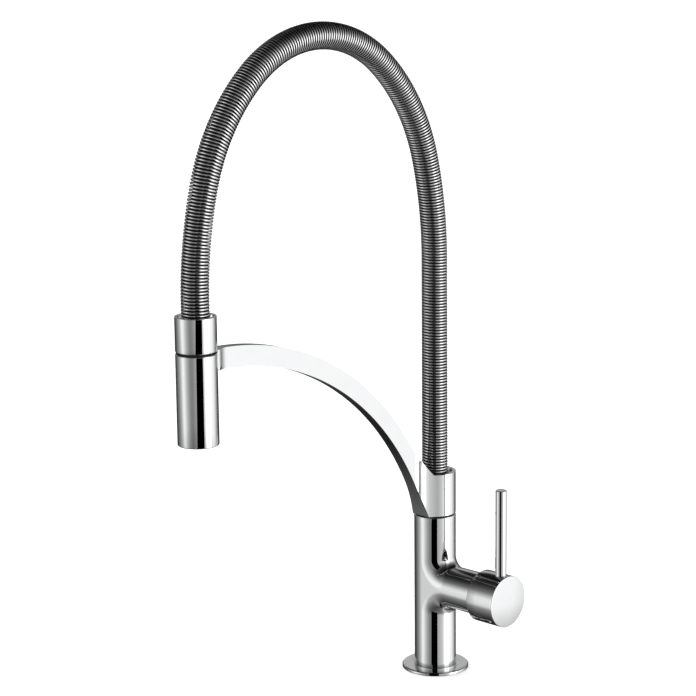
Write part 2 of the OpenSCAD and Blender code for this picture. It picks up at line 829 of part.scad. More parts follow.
base_flange();
base_seal();
body_casting();
swivel_washer();
swivel_spigot();
spigot_o_rings();
retaining_ring();
cartridge_base();
cartridge_seals();
cartridge_housing();
fixed_disc();
cartridge_nut();
cartridge_carrier();
pivot_pin();
moving_disc();
disc_driver();
cartridge_stem();
lever_cap();
lever_pin();
grub_screw();
support_arm();
dock_magnet();
spring_seat();
hose_tail();
hose_tail_o_ring();
hose_spring();
inner_hose();
hose_coupling();
coupling_fitting();
fitting_o_ring();
seam_ring();
spray_sleeve();
steel_band();
head_core();
check_valve();
spray_face();
face_seal();
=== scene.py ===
# %% [markdown]
# # A chrome kitchen mixer with a spring hose
# A slim column stands on the deck and carries a side lever, a flat arm and a sprung hose with a
# pull-down spray head. The engineering model gives every part's size and place. This script gives the
# parts their looks: smooth surfaces in place of the faceted ones, a real coil in place of the plain
# spring tube, and finishes for metal, rubber and plastic.

import json
import math

import bmesh
import bpy
import numpy as np
from mathutils import Matrix, Vector
from mathutils.geometry import tessellate_polygon


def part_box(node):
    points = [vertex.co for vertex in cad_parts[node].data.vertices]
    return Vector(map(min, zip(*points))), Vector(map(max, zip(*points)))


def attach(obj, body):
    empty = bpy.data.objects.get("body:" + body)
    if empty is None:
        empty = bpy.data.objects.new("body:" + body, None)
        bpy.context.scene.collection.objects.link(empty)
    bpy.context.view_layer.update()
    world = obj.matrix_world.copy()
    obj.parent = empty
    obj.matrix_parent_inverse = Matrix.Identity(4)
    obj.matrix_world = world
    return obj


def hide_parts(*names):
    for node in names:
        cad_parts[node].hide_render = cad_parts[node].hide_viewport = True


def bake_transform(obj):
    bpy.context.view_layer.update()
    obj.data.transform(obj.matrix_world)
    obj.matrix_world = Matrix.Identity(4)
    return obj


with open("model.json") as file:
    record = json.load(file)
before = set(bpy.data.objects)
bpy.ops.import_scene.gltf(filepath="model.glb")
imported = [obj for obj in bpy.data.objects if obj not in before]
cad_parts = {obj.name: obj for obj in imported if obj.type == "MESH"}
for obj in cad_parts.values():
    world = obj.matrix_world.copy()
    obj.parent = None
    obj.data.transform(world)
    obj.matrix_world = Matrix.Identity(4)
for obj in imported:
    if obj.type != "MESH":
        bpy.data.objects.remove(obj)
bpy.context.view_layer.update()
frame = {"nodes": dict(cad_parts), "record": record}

# %% [markdown]
# ## The camera
# It comes first, so that every later look is judged from the same place. It stands to the front left
# of the lever, a little above the arm, far away with a long lens, so upright edges stay nearly
# parallel. Its direction is written as an azimuth, an elevation and a small roll, and its target as
# an offset from the foot of the column.

# %% Aim the camera
AZIMUTH = math.radians(44.22)
ELEVATION = math.radians(11.76)
ROLL = math.radians(-0.615)
DISTANCE = 1.7514
AIM_RIGHT = -0.0665
AIM_UP = 0.2519
LENS = 114.33

back = Vector((
    math.sin(AZIMUTH) * math.cos(ELEVATION),
    -math.cos(AZIMUTH) * math.cos(ELEVATION),
    math.sin(ELEVATION),
))
right = Vector((math.cos(AZIMUTH), math.sin(AZIMUTH), 0))
up = back.cross(right)
camera_data = bpy.data.cameras.new("camera")
camera_data.sensor_width = 36
camera_data.lens = LENS
camera_data.clip_end = 20
camera = bpy.data.objects.new("camera", camera_data)
turned_right = math.cos(ROLL) * right + math.sin(ROLL) * up
turned_up = -math.sin(ROLL) * right + math.cos(ROLL) * up
axes = Matrix((turned_right, turned_up, back)).transposed()
camera.matrix_world = (
    Matrix.Translation(back * DISTANCE + right * AIM_RIGHT + up * AIM_UP) @ axes.to_4x4()
)
bpy.context.scene.collection.objects.link(camera)
bpy.context.scene.camera = camera
bpy.context.scene.view_settings.view_transform = "Standard"
print("camera at", [round(x, 3) for x in camera.matrix_world.translation])

# %% [markdown]
# ## Node maths as plain expressions
# A material is a small network of nodes. Writing it out node by node hides the idea, so one class
# stands for a number that travels between nodes. Adding or multiplying two of them adds the Math node
# that does it, and the finish then reads like a formula.

# %% A number in a node network
class Signal:
    """A number that a node gives, which can be used in arithmetic."""

    def __init__(self, finish, socket):
        self.finish = finish
        self.socket = socket

    def math(self, operation, first, second=None, clamp=False):
        """One Math node on one or two values."""
        sockets = {0: first} if second is None else {0: first, 1: second}
        settings = {"operation": operation, "use_clamp": clamp}
        return self.finish.signal("ShaderNodeMath", settings, sockets)

    def __add__(self, other):
        return self.math("ADD", self, other)

    def __sub__(self, other):
        return self.math("SUBTRACT", self, other)

    def __rsub__(self, other):
        return self.math("SUBTRACT", other, self)

    def __mul__(self, other):
        return self.math("MULTIPLY", self, other)

    def clamped(self):
        """The number kept between 0 and 1."""
        return self.math("ADD", self, 0.0, clamp=True)


# %% A finish and its nodes
class Finish:
    """A material, or the world, and the one method that adds nodes to it."""

    def __init__(self, name, tree=None):
        self.material = None
        if tree is None:
            self.material = bpy.data.materials.new(name)
            self.material.use_nodes = True
            tree = self.material.node_tree
        self.tree = tree
        self.tree.nodes.clear()

    def node(self, kind, settings=None, sockets=None):
        """A new node: first its settings or ramp stops, then the values or links of its sockets."""
        made = self.tree.nodes.new(kind)
        for key, value in (settings or {}).items():
            if key == "stops":
                ramp = made.color_ramp
                while len(ramp.elements) < len(value):
                    ramp.elements.new(0.5)
                for element, (place, light) in zip(ramp.elements, value):
                    element.position = place
                    element.color = (light, light, light, 1.0)
            else:
                setattr(made, key, value)
        for key, value in (sockets or {}).items():
            self.join(value, made.inputs[key])
        return made

    def join(self, value, socket):
        """Links a signal or an output to a socket, or sets the socket's own value."""
        value = value.socket if isinstance(value, Signal) else value
        if isinstance(value, bpy.types.NodeSocket):
            self.tree.links.new(value, socket)
        else:
            socket.default_value = value

    def signal(self, kind, settings=None, sockets=None, output=0):
        """The number that a new node gives."""
        return Signal(self, self.node(kind, settings, sockets).outputs[output])

    def object_place(self, stretch=(1, 1, 1)):
        """Place on the piece, in metres, scaled by stretch."""
        place = self.node("ShaderNodeTexCoord").outputs["Object"]
        return self.node("ShaderNodeMapping", None, {"Vector": place, "Scale": stretch}).outputs[0]

    def noise(self, size, detail=3.0, stretch=(1, 1, 1)):
        """Soft noise from 0 to 1 whose blots are about size metres across."""
        sockets = {"Vector": self.object_place(stretch), "Scale": 1 / size, "Detail": detail}
        return self.signal("ShaderNodeTexNoise", None, sockets)

    def blend_colours(self, factor, first, second):
        """A colour between two colours."""
        sockets = {"Factor": factor, 6: (*first, 1.0), 7: (*second, 1.0)}
        return self.node("ShaderNodeMix", {"data_type": "RGBA"}, sockets).outputs[2]

    def surface(self, constants, varying, bump=None, bump_depth=0.0):
        """Ends the material in a Principled shader. Constants are set on its own sockets."""
        shader = self.node("ShaderNodeBsdfPrincipled", None, constants)
        for key, value in varying.items():
            self.join(value, shader.inputs[key])
        if bump is not None:
            sockets = {"Height": bump, "Distance": bump_depth, "Strength": 1.0}
            self.join(self.node("ShaderNodeBump", None, sockets).outputs[0], shader.inputs["Normal"])
        self.node("ShaderNodeOutputMaterial", None, {"Surface": shader.outputs[0]})
        return self.material


# %% [markdown]
# ## The studio
# Chrome has no colour of its own: what is seen on it is the room. So the room is designed first. It is
# a plain white studio whose walls change slowly in brightness from side to side, with a white light on
# the right, a softer one on the left, and darkness below. One black card near the mixer draws the
# dark upright band that gives a chrome tube its roundness. The floor is matte and pale.

# %% Brightness of the room round the mixer
# Each pair is a direction, in degrees round from the camera's own side, and a brightness there.
ROOM = [
    (-180, 0.10), (-160, 0.06), (-141, 0.05), (-125, 0.13), (-112, 0.24), (-98, 0.40), (-88, 0.62),
    (-78, 0.95), (-70, 0.90), (-58, 0.60), (-45, 0.37), (-32, 0.23), (-20, 0.22), (-2, 0.34), (10, 0.40),
    (20, 0.48), (35, 0.60), (45, 0.80), (56, 2.00), (76, 2.00), (84, 1.02), (99, 1.00), (118, 0.60),
    (130, 0.28), (146, 0.05), (162, 0.06), (180, 0.10),
]
# Each pair is a height, as the sine of its angle above the horizon, and the share of light there.
HEIGHTS = [
    (-1.0, 0.26), (-0.75, 0.28), (-0.50, 0.42), (-0.33, 0.95), (-0.05, 1.0), (0.12, 0.97),
    (0.30, 0.62), (0.47, 0.28), (0.75, 0.06), (1.0, 0.01),
]
# The white backdrop behind the mixer: its brightness at each height, from the horizon up.
BACKDROP = [(0.0, 0.0), (0.12, 0.06), (0.22, 0.16), (0.32, 0.44), (0.40, 0.40), (0.55, 0.0)]
# The even light that everything but a mirror sees.
SOFT_LIGHT = 1.42

world = bpy.data.worlds.new("studio")
bpy.context.scene.world = world
world.use_nodes = True
room = Finish("studio", world.node_tree)
direction = room.node("ShaderNodeTexCoord").outputs["Generated"]
turned = room.node("ShaderNodeVectorRotate", {"rotation_type": "Z_AXIS"}, {
    "Vector": direction, "Angle": -AZIMUTH,
})
parts = room.node("ShaderNodeSeparateXYZ", None, {"Vector": turned.outputs[0]})
across = Signal(room, parts.outputs[0])
depth = Signal(room, parts.outputs[1])
height = Signal(room, parts.outputs[2])
turn = room.signal("ShaderNodeMath", {"operation": "ARCTAN2"}, {0: across, 1: depth * -1})
around = room.node("ShaderNodeValToRGB", {
    "stops": [((angle + 180) / 360, light / 2) for angle, light in ROOM],
}, {"Fac": turn * (0.5 / math.pi) + 0.5})
upward = room.node("ShaderNodeValToRGB", {
    "stops": [((place + 1) / 2, share) for place, share in HEIGHTS],
}, {"Fac": height * 0.5 + 0.5})
walls = Signal(room, around.outputs[0]) * Signal(room, upward.outputs[0]) * 2
behind = room.node("ShaderNodeValToRGB", {"stops": BACKDROP}, {"Fac": height})
walls = walls + Signal(room, behind.outputs[0]) * (depth * 2 - 1).clamped()
seen = room.node("ShaderNodeLightPath")
in_mirrors = Signal(room, seen.outputs["Is Glossy Ray"])
brightness = walls * in_mirrors + (1 - in_mirrors) * SOFT_LIGHT
lit = room.node("ShaderNodeBackground", None, {"Color": (1, 1, 1, 1), "Strength": brightness})
room.node("ShaderNodeOutputWorld", None, {"Surface": lit.outputs[0]})


# %% The black card, which only the chrome sees
CARD_DISTANCE = 0.511
CARD_FOOT = -0.30
CARD_TOP = 0.42
# Where the card's left and right edges stand to the side, at its foot and at its top.
CARD_AT_FOOT = (-0.245, 0.088)
CARD_AT_TOP = (-0.135, 0.090)

front = Vector((math.sin(AZIMUTH), -math.cos(AZIMUTH), 0))
card_corners = [
    front * CARD_DISTANCE + right * side + Vector((0, 0, z))
    for side, z in (
        (CARD_AT_FOOT[0], CARD_FOOT), (CARD_AT_FOOT[1], CARD_FOOT),
        (CARD_AT_TOP[1], CARD_TOP), (CARD_AT_TOP[0], CARD_TOP),
    )
]
card_mesh = bpy.data.meshes.new("black_card")
card_mesh.from_pydata(card_corners, [], [(0, 1, 2, 3)])
card = bpy.data.objects.new("black_card", card_mesh)
card_finish = Finish("black_card")
dark = card_finish.node("ShaderNodeEmission", None, {"Color": (1, 1, 1, 1), "Strength": 0.0})
card_finish.node("ShaderNodeOutputMaterial", None, {"Surface": dark.outputs[0]})
card_mesh.materials.append(card_finish.material)
card.visible_camera = False
card.visible_diffuse = False
card.visible_shadow = False
card.visible_transmission = False
bpy.context.scene.collection.objects.link(card)

# %% Floor and overhead light
FLOOR_HALF = 6

floor_mesh = bpy.data.meshes.new("floor")
floor_corners = [(FLOOR_HALF * x, FLOOR_HALF * y, 0) for x, y in ((-1, -1), (1, -1), (1, 1), (-1, 1))]
floor_mesh.from_pydata(floor_corners, [], [(0, 1, 2, 3)])
floor = bpy.data.objects.new("floor", floor_mesh)
bpy.context.scene.collection.objects.link(floor)
paper = Finish("pale_floor")
floor_mesh.materials.append(paper.surface({"Base Color": (0.95, 0.95, 0.95, 1), "Roughness": 0.9}, {}))
floor.visible_glossy = False

overhead_data = bpy.data.lights.new("overhead", "AREA")
overhead_data.shape = "DISK"
overhead_data.size = 2.4
overhead_data.energy = 6
overhead = bpy.data.objects.new("overhead", overhead_data)
overhead.location = (0, 0, 2.6)
overhead.visible_glossy = False
bpy.context.scene.collection.objects.link(overhead)

# %% [markdown]
# ## From a drawn profile to a turned part
# Almost every part of a mixer is turned on a lathe or drawn as a tube, so its shape is one profile
# carried round an axis. A real edge is never perfectly sharp, and on chrome it is the small round at
# the edge that catches the light, so profiles are drawn with sharp corners and rounded afterwards.

# %% Profiles with rounded corners
MM = 0.001


def rounded(corners, radius, steps=4, closed=True):
    """The corners of a polygon, in mm, each replaced by an arc.

    An arc of radius R touches both sides of a corner at R / tan(half the corner's angle) from it. The
    distance is kept below 45% of the shorter side. An open profile keeps its two ends as they are.
    """
    here = np.asarray(corners, float)
    before = np.roll(here, 1, axis=0) - here
    after = np.roll(here, -1, axis=0) - here
    long_before = np.linalg.norm(before, axis=1)
    long_after = np.linalg.norm(after, axis=1)
    back_way = before / long_before[:, None]
    on_way = after / long_after[:, None]
    inward = back_way + on_way
    half = np.arccos(np.clip(np.sum(back_way * on_way, axis=1), -1, 1)) / 2
    shorter = np.minimum(long_before, long_after)
    reach = np.minimum(np.broadcast_to(radius, half.shape) / np.tan(half), 0.45 * shorter)
    depth_in = reach * np.tan(half) / np.sin(half)
    centre = here + inward / np.linalg.norm(inward + 1e-12, axis=1)[:, None] * depth_in[:, None]
    start = here + back_way * reach[:, None] - centre
    end = here + on_way * reach[:, None] - centre
    t = np.linspace(0, 1, steps + 1)[None, :, None]
    spread = (math.pi - 2 * half)[:, None, None]
    arcs = np.sin((1 - t) * spread) * start[:, None] + np.sin(t * spread) * end[:, None]
    arcs = arcs / np.sin(spread) + centre[:, None]
    if not closed:
        return np.concatenate([here[:1], arcs[1:-1].reshape(-1, 2), here[-1:]])
    return arcs.reshape(-1, 2)


# %% Grids of points and the faces between them
def grid_faces(rows, columns, rows_close=False, columns_close=False):
    """Quads between the points of a grid, by number.

    A closed direction joins its last line to its first.
    """
    i = np.arange(rows if rows_close else rows - 1)
    j = np.arange(columns if columns_close else columns - 1)
    i, j = np.meshgrid(i, j, indexing="ij")
    next_i = (i + 1) % rows
    next_j = (j + 1) % columns
    near = [i * columns + j, next_i * columns + j]
    far = [next_i * columns + next_j, i * columns + next_j]
    return np.stack(near + far, -1).reshape(-1, 4)


class Patches:
    """Grids of points that together make one surface."""

    def __init__(self):
        self.points = []
        self.faces = []
        self.count = 0

    def add(self, grid, rows_close=False, columns_close=False, turn=False):
        """Adds a grid of points of shape rows, columns, 3. turn makes its faces look the other way."""
        rows, columns = grid.shape[:2]
        quads = grid_faces(rows, columns, rows_close, columns_close)
        self.faces.append((quads[:, ::-1] if turn else quads) + self.count)
        self.points.append(grid.reshape(-1, 3))
        self.count += rows * columns

    def add_flat(self, loops):
        """Adds a flat face: the first loop of points is its outline and the others are holes in it."""
        faces = tessellate_polygon([[Vector(point) for point in loop] for loop in loops])
        self.faces.append(np.array(faces) + self.count)
        self.points.extend(np.asarray(loop) for loop in loops)
        self.count += sum(len(loop) for loop in loops)


def make_piece(name, patches, material, body, replaces=(), sharp=32, merge=1e-7, attribute=None):
    """One object from patches, in metres.

    Touching edges are merged, and corners over sharp degrees stay crisp. attribute is a name and one
    number for each point, for the finish to read.
    """
    mesh = bpy.data.meshes.new(name)
    faces = [face for group in patches.faces for face in group.tolist()]
    mesh.from_pydata(np.concatenate(patches.points), [], faces)
    if attribute:
        layer = mesh.attributes.new(attribute[0], "FLOAT", "POINT")
        layer.data.foreach_set("value", np.asarray(attribute[1], np.float32).ravel())
    work = bmesh.new()
    work.from_mesh(mesh)
    bmesh.ops.remove_doubles(work, verts=work.verts, dist=merge)
    bmesh.ops.delete(work, geom=[v for v in work.verts if not v.link_faces], context="VERTS")
    bmesh.ops.recalc_face_normals(work, faces=work.faces)
    volume = work.calc_volume(signed=True)
    open_edges = sum(not e.is_manifold for e in work.edges)
    work.to_mesh(mesh)
    work.free()
    mesh.shade_smooth()
    mesh.set_sharp_from_angle(angle=math.radians(sharp))
    mesh.materials.append(material)
    piece = bpy.data.objects.new(name, mesh)
    bpy.context.scene.collection.objects.link(piece)
    if body:
        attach(piece, body)
    if replaces:
        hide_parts(*replaces)
    print(f"{name}: {len(mesh.polygons)} faces, {open_edges} open edges, {abs(volume) * 1e6:.2f} cm3")
    return piece


# %% Parts turned round an axis
def turned_grid(profile, place, axis="Z", steps=128):
    """A profile of radius and height, in mm, carried round an axis through place, in metres.

    With angle a the point is radius * (cos a, sin a) across the axis and height along it.
    """
    a = np.linspace(0, 2 * np.pi, steps, endpoint=False)[None, :]
    radius = profile[:, :1] * MM
    height = profile[:, 1:] * MM + 0 * a
    first = radius * np.cos(a)
    second = radius * np.sin(a)
    if axis == "X":
        grid = np.stack([height, first, second], -1)
    else:
        grid = np.stack([first, second, height], -1)
    return grid + np.asarray(place, float)


def turned_piece(name, profile, place, material, body, replaces, closes=True, steps=128):
    """A turned part. Its profile closes on itself, or else it starts and ends on the axis."""
    patches = Patches()
    patches.add(turned_grid(profile, place, steps=steps), rows_close=closes, columns_close=True)
    return make_piece(name, patches, material, body, replaces)


# %% [markdown]
# ## Finishes
# Chrome plate is a metal mirror. Real plate is a little softer where hands have wiped it, and the metal
# under it was polished by hand, so its surface swells by a few microns over a few centimetres. Both are
# here, faintly: noise moves the roughness, and a very shallow bump bends the reflections.

# %% Polished metals
def polished_metal(name, light, dark, roughness, wiped, swell=0.00002, swell_size=0.03):
    """A mirror metal between two close tones, with wiped patches and a shallow swell."""
    finish = Finish(name)
    patches = finish.noise(0.018, detail=4.0)
    tone = finish.blend_colours(patches.clamped(), light, dark)
    rough = patches * wiped + roughness
    return finish.surface({"Metallic": 1.0}, {"Base Color": tone, "Roughness": rough},
                          bump=finish.noise(swell_size, detail=1.0), bump_depth=swell)


CHROME = polished_metal("polished_chrome", (0.97, 0.975, 0.98), (0.92, 0.925, 0.935), 0.015, 0.03)
STEEL = polished_metal("plain_steel", (0.68, 0.68, 0.69), (0.52, 0.52, 0.54), 0.22, 0.14, 0.0)
NICKEL = polished_metal("nickel_plate", (0.62, 0.60, 0.57), (0.46, 0.45, 0.43), 0.20, 0.12, 0.0)


# %% Spring wire
def spring_wire():
    """Bright drawn wire. The attribute "crest" is 1 along the outside of the coil and -1 on its inside.

    Between two turns a mirror only shows the next turn, again and again, and loses light each time, so shade
    falls in the valley.
    That shade is painted into the colour: the metal's base colour falls off from the crest into the valley.
    """
    finish = Finish("spring_wire")
    crest = finish.signal("ShaderNodeAttribute", {"attribute_name": "crest"}, output=2)
    # Painted shade: away from the crest, in the valleys between turns, the wire's base colour goes nearly
    # black.
    painted_shade_mask = ((crest - 0.58) * 6.0).clamped()
    drawn = finish.noise(0.004, detail=3.0)
    colour = finish.blend_colours(painted_shade_mask, (0.03, 0.03, 0.032), (0.98, 0.98, 0.985))
    return finish.surface({"Metallic": 1.0}, {"Base Color": colour, "Roughness": drawn * 0.04 + 0.03})


SPRING = spring_wire()


# %% Turned brass
def turned_brass():
    """Brass from a lathe: fine rings along the axis, and a tarnish that gathers in patches."""
    finish = Finish("turned_brass")
    rings = finish.noise(0.0004, detail=1.0, stretch=(0.02, 0.02, 1.0))
    tarnish = finish.noise(0.006, detail=4.0)
    colour = finish.blend_colours(tarnish.clamped(), (0.80, 0.62, 0.30), (0.50, 0.36, 0.16))
    rough = rings * 0.12 + tarnish * 0.1 + 0.16
    return finish.surface({"Metallic": 1.0}, {"Base Color": colour, "Roughness": rough},
                          bump=rings, bump_depth=0.00001)


BRASS = turned_brass()


# %% Rubber, plastic and ceramic
def moulded(name, light, dark, roughness, varied, grain, grain_depth, constants=None):
    """A moulded material between two close tones, with a fine grain in its surface."""
    finish = Finish(name)
    cloud = finish.noise(0.012, detail=4.0)
    fine = finish.noise(grain, detail=2.0)
    tone = finish.blend_colours(cloud.clamped(), light, dark)
    rough = cloud * varied + fine * (varied / 2) + roughness
    varying = {"Base Color": tone, "Roughness": rough}
    return finish.surface(constants or {}, varying, bump=fine, bump_depth=grain_depth)


RUBBER = moulded("black_rubber", (0.030, 0.030, 0.031), (0.012, 0.012, 0.013), 0.55, 0.2, 0.0006, 0.00002)
HOSE = moulded("black_hose", (0.016, 0.016, 0.017), (0.006, 0.006, 0.007), 0.38, 0.2, 0.0008, 0.00003)
BLACK_PLASTIC = moulded("black_plastic", (0.008, 0.008, 0.009), (0.004, 0.004, 0.005), 0.50, 0.2, 0.0004,
                        0.00001, {"Specular IOR Level": 0.12})
GREY_PLASTIC = moulded("grey_plastic", (0.20, 0.21, 0.225), (0.14, 0.15, 0.165), 0.42, 0.2, 0.0004, 0.000015)
WHITE_PLASTIC = moulded("white_plastic", (0.85, 0.85, 0.83), (0.76, 0.76, 0.74), 0.35, 0.2, 0.0004, 0.00001)
CERAMIC = moulded("lapped_ceramic", (0.93, 0.91, 0.86), (0.86, 0.84, 0.79), 0.08, 0.06, 0.0003, 0.000002)

# %% [markdown]
# ## The engineering parts keep their shapes and get finishes
# The cartridge, the fittings and the seals sit inside the chrome shells, and show only when a part is
# taken away or the head is pulled down. Their shapes are already right, so they only take a finish.
# The seat under the spring is the one brass part that can be seen from above, and it is plated.

# %% Finish every engineering part by its material slot
FINISHES = {
    "chrome": CHROME, "spring_chrome": SPRING, "spring_steel": STEEL, "brass": BRASS, "rubber": RUBBER,
    "hose_rubber": HOSE, "black_plastic": BLACK_PLASTIC, "grey_plastic": GREY_PLASTIC,
    "white_plastic": WHITE_PLASTIC, "ceramic": CERAMIC, "magnet": NICKEL,
}
for part in frame["record"]["subparts"]:
    mesh = frame["nodes"][part["node"]].data
    mesh.materials.clear()
    mesh.materials.append(STEEL if part["node"] == "spring_seat" else FINISHES[part["material_slot"]])
print(len(frame["nodes"]), "engineering parts finished")


# %% Sizes read from the frame
def box_of(node):
    """Lowest and highest corner of an engineering part, in mm."""
    low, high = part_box(node)
    return np.array(low) / MM, np.array(high) / MM


body_low, body_high = box_of("body_casting")
BODY_R = -body_low[0]
COLUMN_TOP = body_high[2]
BRANCH_END = body_high[0]
cap_low, cap_high = box_of("lever_cap")
BRANCH_Z = (cap_low[2] + cap_high[2]) / 2
CAP_R = (cap_high[2] - cap_low[2]) / 2
arm_low, arm_high = box_of("support_arm")
COLLAR_Z = arm_low[2]
sleeve_low, sleeve_high = box_of("spray_sleeve")
HEAD_R = (sleeve_high[0] - sleeve_low[0]) / 2
HEAD_Y = (sleeve_low[1] + sleeve_high[1]) / 2
print(f"column {2 * BODY_R:.1f} mm across, branch axis at {BRANCH_Z:.1f}, head axis at y {HEAD_Y:.1f}")

# %% [markdown]
# ## The flange and the seams
# The flange is a turned chrome disc that hides the hole in the deck. Where two parts meet, the real
# mixer shows a thin dark line: between the column and the swivelling collar it is a plastic washer, and
# it is set back a little, so it stays in shadow.

# %% Flange
flange_high = box_of("base_flange")[1]
seal_high = box_of("base_seal")[1]
FLANGE_R = flange_high[0] - 0.01
FLANGE_H = flange_high[2]
FLANGE_BORE = BODY_R + 0.12
FLANGE_LIFT = 0.05
FLANGE_BEVEL = 0.6
# The groove that the seal lies in, a little wider and deeper than the seal.
GROOVE_IN = 19.05
GROOVE_OUT = seal_high[0] + 0.05
GROOVE_TOP = seal_high[2] + 0.05
flange_profile = rounded([
    (FLANGE_BORE, FLANGE_LIFT), (GROOVE_IN, FLANGE_LIFT), (GROOVE_IN, GROOVE_TOP), (GROOVE_OUT, GROOVE_TOP),
    (GROOVE_OUT, FLANGE_LIFT), (FLANGE_R, FLANGE_LIFT), (FLANGE_R, FLANGE_H - FLANGE_BEVEL),
    (FLANGE_R - FLANGE_BEVEL, FLANGE_H), (FLANGE_BORE, FLANGE_H),
], [0.05, 0.05, 0.05, 0.05, 0.05, 0.15, 0.25, 0.25, 0.15])
turned_piece("flange", flange_profile, (0, 0, 0), CHROME, "faucet_body", ["base_flange"], steps=192)

# %% Swivel washer
washer_low, washer_high = box_of("swivel_washer")
WASHER_BORE = 11.1
washer_profile = rounded([
    (WASHER_BORE, washer_low[2]), (washer_high[0], washer_low[2]),
    (washer_high[0], washer_high[2]), (WASHER_BORE, washer_high[2]),
], 0.2)
turned_piece("washer", washer_profile, (0, 0, 0), BLACK_PLASTIC, "faucet_body",
             ["swivel_washer"])

# %% [markdown]
# ## The column and its branch
# The column is a brass casting with a branch for the cartridge, ground and polished until the two tubes
# flow into each other. A boolean of two cylinders with a bevel would leave a lumpy seam that chrome
# shows at once. Cut at any distance y from the middle, both tubes are straight strips of half width
# w = sqrt(r * r - y * y), and the corner between the strips is an arc that touches both. Stacking those
# arcs for every y gives one smooth surface, and where w reaches 0 it runs out on a flat cheek.

# %% Column and branch
# The blend between column and branch, and the radius of its widest arc.
BLEND = 6.0
BEND_R = BODY_R + BLEND
# The foot: how high its relief is, how far in it steps, and how far it stays off the deck.
FOOT_H = 1.6
FOOT_STEP = 1.5
FOOT_LIFT = 0.02
# The rounded edges at the column's top and at the branch's mouth.
SEAM_ROUND = 0.9
MOUTH_ROUND = 0.3
# The quarter turn of every blend arc, and the number of lines across a straight stretch.
ARC = np.linspace(np.pi, 1.5 * np.pi, 33)
BRANCH_LINES = 9


def column_grid(angles, heights):
    """Points of the column: angle a round it and height z give r * (sin a, cos a) across and z."""
    a, z = np.meshgrid(angles, heights, indexing="ij")
    return np.stack([BODY_R * np.sin(a), BODY_R * np.cos(a), z], -1) * MM


def branch_strip(angles, side):
    """One blend and its stretch of branch, above (side 1) or below (side -1) the branch's axis.

    With y = r * cos a and half width w = r * sin a, the arc's points are
    (R + (R - w) * cos t, z0 + side * (R + (R - w) * sin t)) for t from 180 to 270 degrees.
    """
    a = angles[:, None]
    w = BODY_R * np.sin(a)
    t = ARC[None, :]
    straight = np.linspace(BEND_R, BRANCH_END - MOUTH_ROUND, BRANCH_LINES)[None, 1:]
    x = np.concatenate([BEND_R + (BEND_R - w) * np.cos(t), straight + 0 * a], 1)
    z = np.concatenate([BEND_R + (BEND_R - w) * np.sin(t), w + 0 * straight], 1)
    y = BODY_R * np.cos(a) + 0 * x
    return np.stack([x, y, BRANCH_Z + side * z], -1) * MM


def cheek(y, side):
    """The flat between the column's side line and the outermost arc: straight strips along x."""
    t = ARC[:, None]
    share = np.linspace(0, 1, BRANCH_LINES)[None, :]
    x = share * (BEND_R + BEND_R * np.cos(t))
    z = BRANCH_Z + side * (BEND_R + BEND_R * np.sin(t)) + 0 * x
    return np.stack([x, y + 0 * x, z], -1) * MM


branch_side = np.linspace(0, np.pi, 65)
plain_side = np.linspace(np.pi, 2 * np.pi, 65)
body = Patches()
low_arc = BRANCH_Z - (BEND_R + BEND_R * np.sin(ARC))
high_arc = BRANCH_Z + (BEND_R + BEND_R * np.sin(ARC))
low_heights = np.linspace(FOOT_H, BRANCH_Z - BEND_R, 9)
high_heights = np.linspace(BRANCH_Z + BEND_R, COLUMN_TOP - SEAM_ROUND, 9)
all_heights = np.concatenate([low_heights[:-1], low_arc, high_arc[::-1][1:], high_heights[1:]])
body.add(column_grid(plain_side, all_heights))
body.add(column_grid(branch_side, low_heights))
body.add(column_grid(branch_side, high_heights))
for side in (-1, 1):
    body.add(branch_strip(branch_side, side))
    for y in (-BODY_R, BODY_R):
        body.add(cheek(y, side))


def corner_round(radius, height, size, steps=4):
    """A quarter round from the side of a part to its top, at an outer corner of the profile."""
    t = np.linspace(0, np.pi / 2, steps + 1)
    return np.stack([radius - size + size * np.cos(t), height - size + size * np.sin(t)], -1)


spigot_low, spigot_high = box_of("swivel_spigot")
SPIGOT_R = spigot_high[0]
SPIGOT_BORE = SPIGOT_R + 0.02
cartridge_high = box_of("cartridge_housing")[1]
CARTRIDGE_R = cartridge_high[1] + 0.05
NUT_R = CARTRIDGE_R + 1.45
NUT_X = cartridge_high[0]
SEAT_X = box_of("cartridge_base")[0][0]
top_profile = np.concatenate([
    corner_round(BODY_R, COLUMN_TOP, SEAM_ROUND),
    [(SPIGOT_BORE, COLUMN_TOP), (SPIGOT_BORE, spigot_low[2]), (0, spigot_low[2])],
])
foot_profile = np.array([(BODY_R, FOOT_H), (BODY_R - FOOT_STEP, FOOT_H), (BODY_R - FOOT_STEP, FOOT_LIFT)])
mouth_profile = np.concatenate([
    corner_round(BODY_R, BRANCH_END, MOUTH_ROUND),
    [(NUT_R, BRANCH_END), (NUT_R, NUT_X), (CARTRIDGE_R, NUT_X), (CARTRIDGE_R, SEAT_X), (0, SEAT_X)],
])
body.add(turned_grid(top_profile, (0, 0, 0)), columns_close=True)
foot = turned_grid(foot_profile, (0, 0, 0))
body.add(foot, columns_close=True)
foot_loops = [foot[-1]]
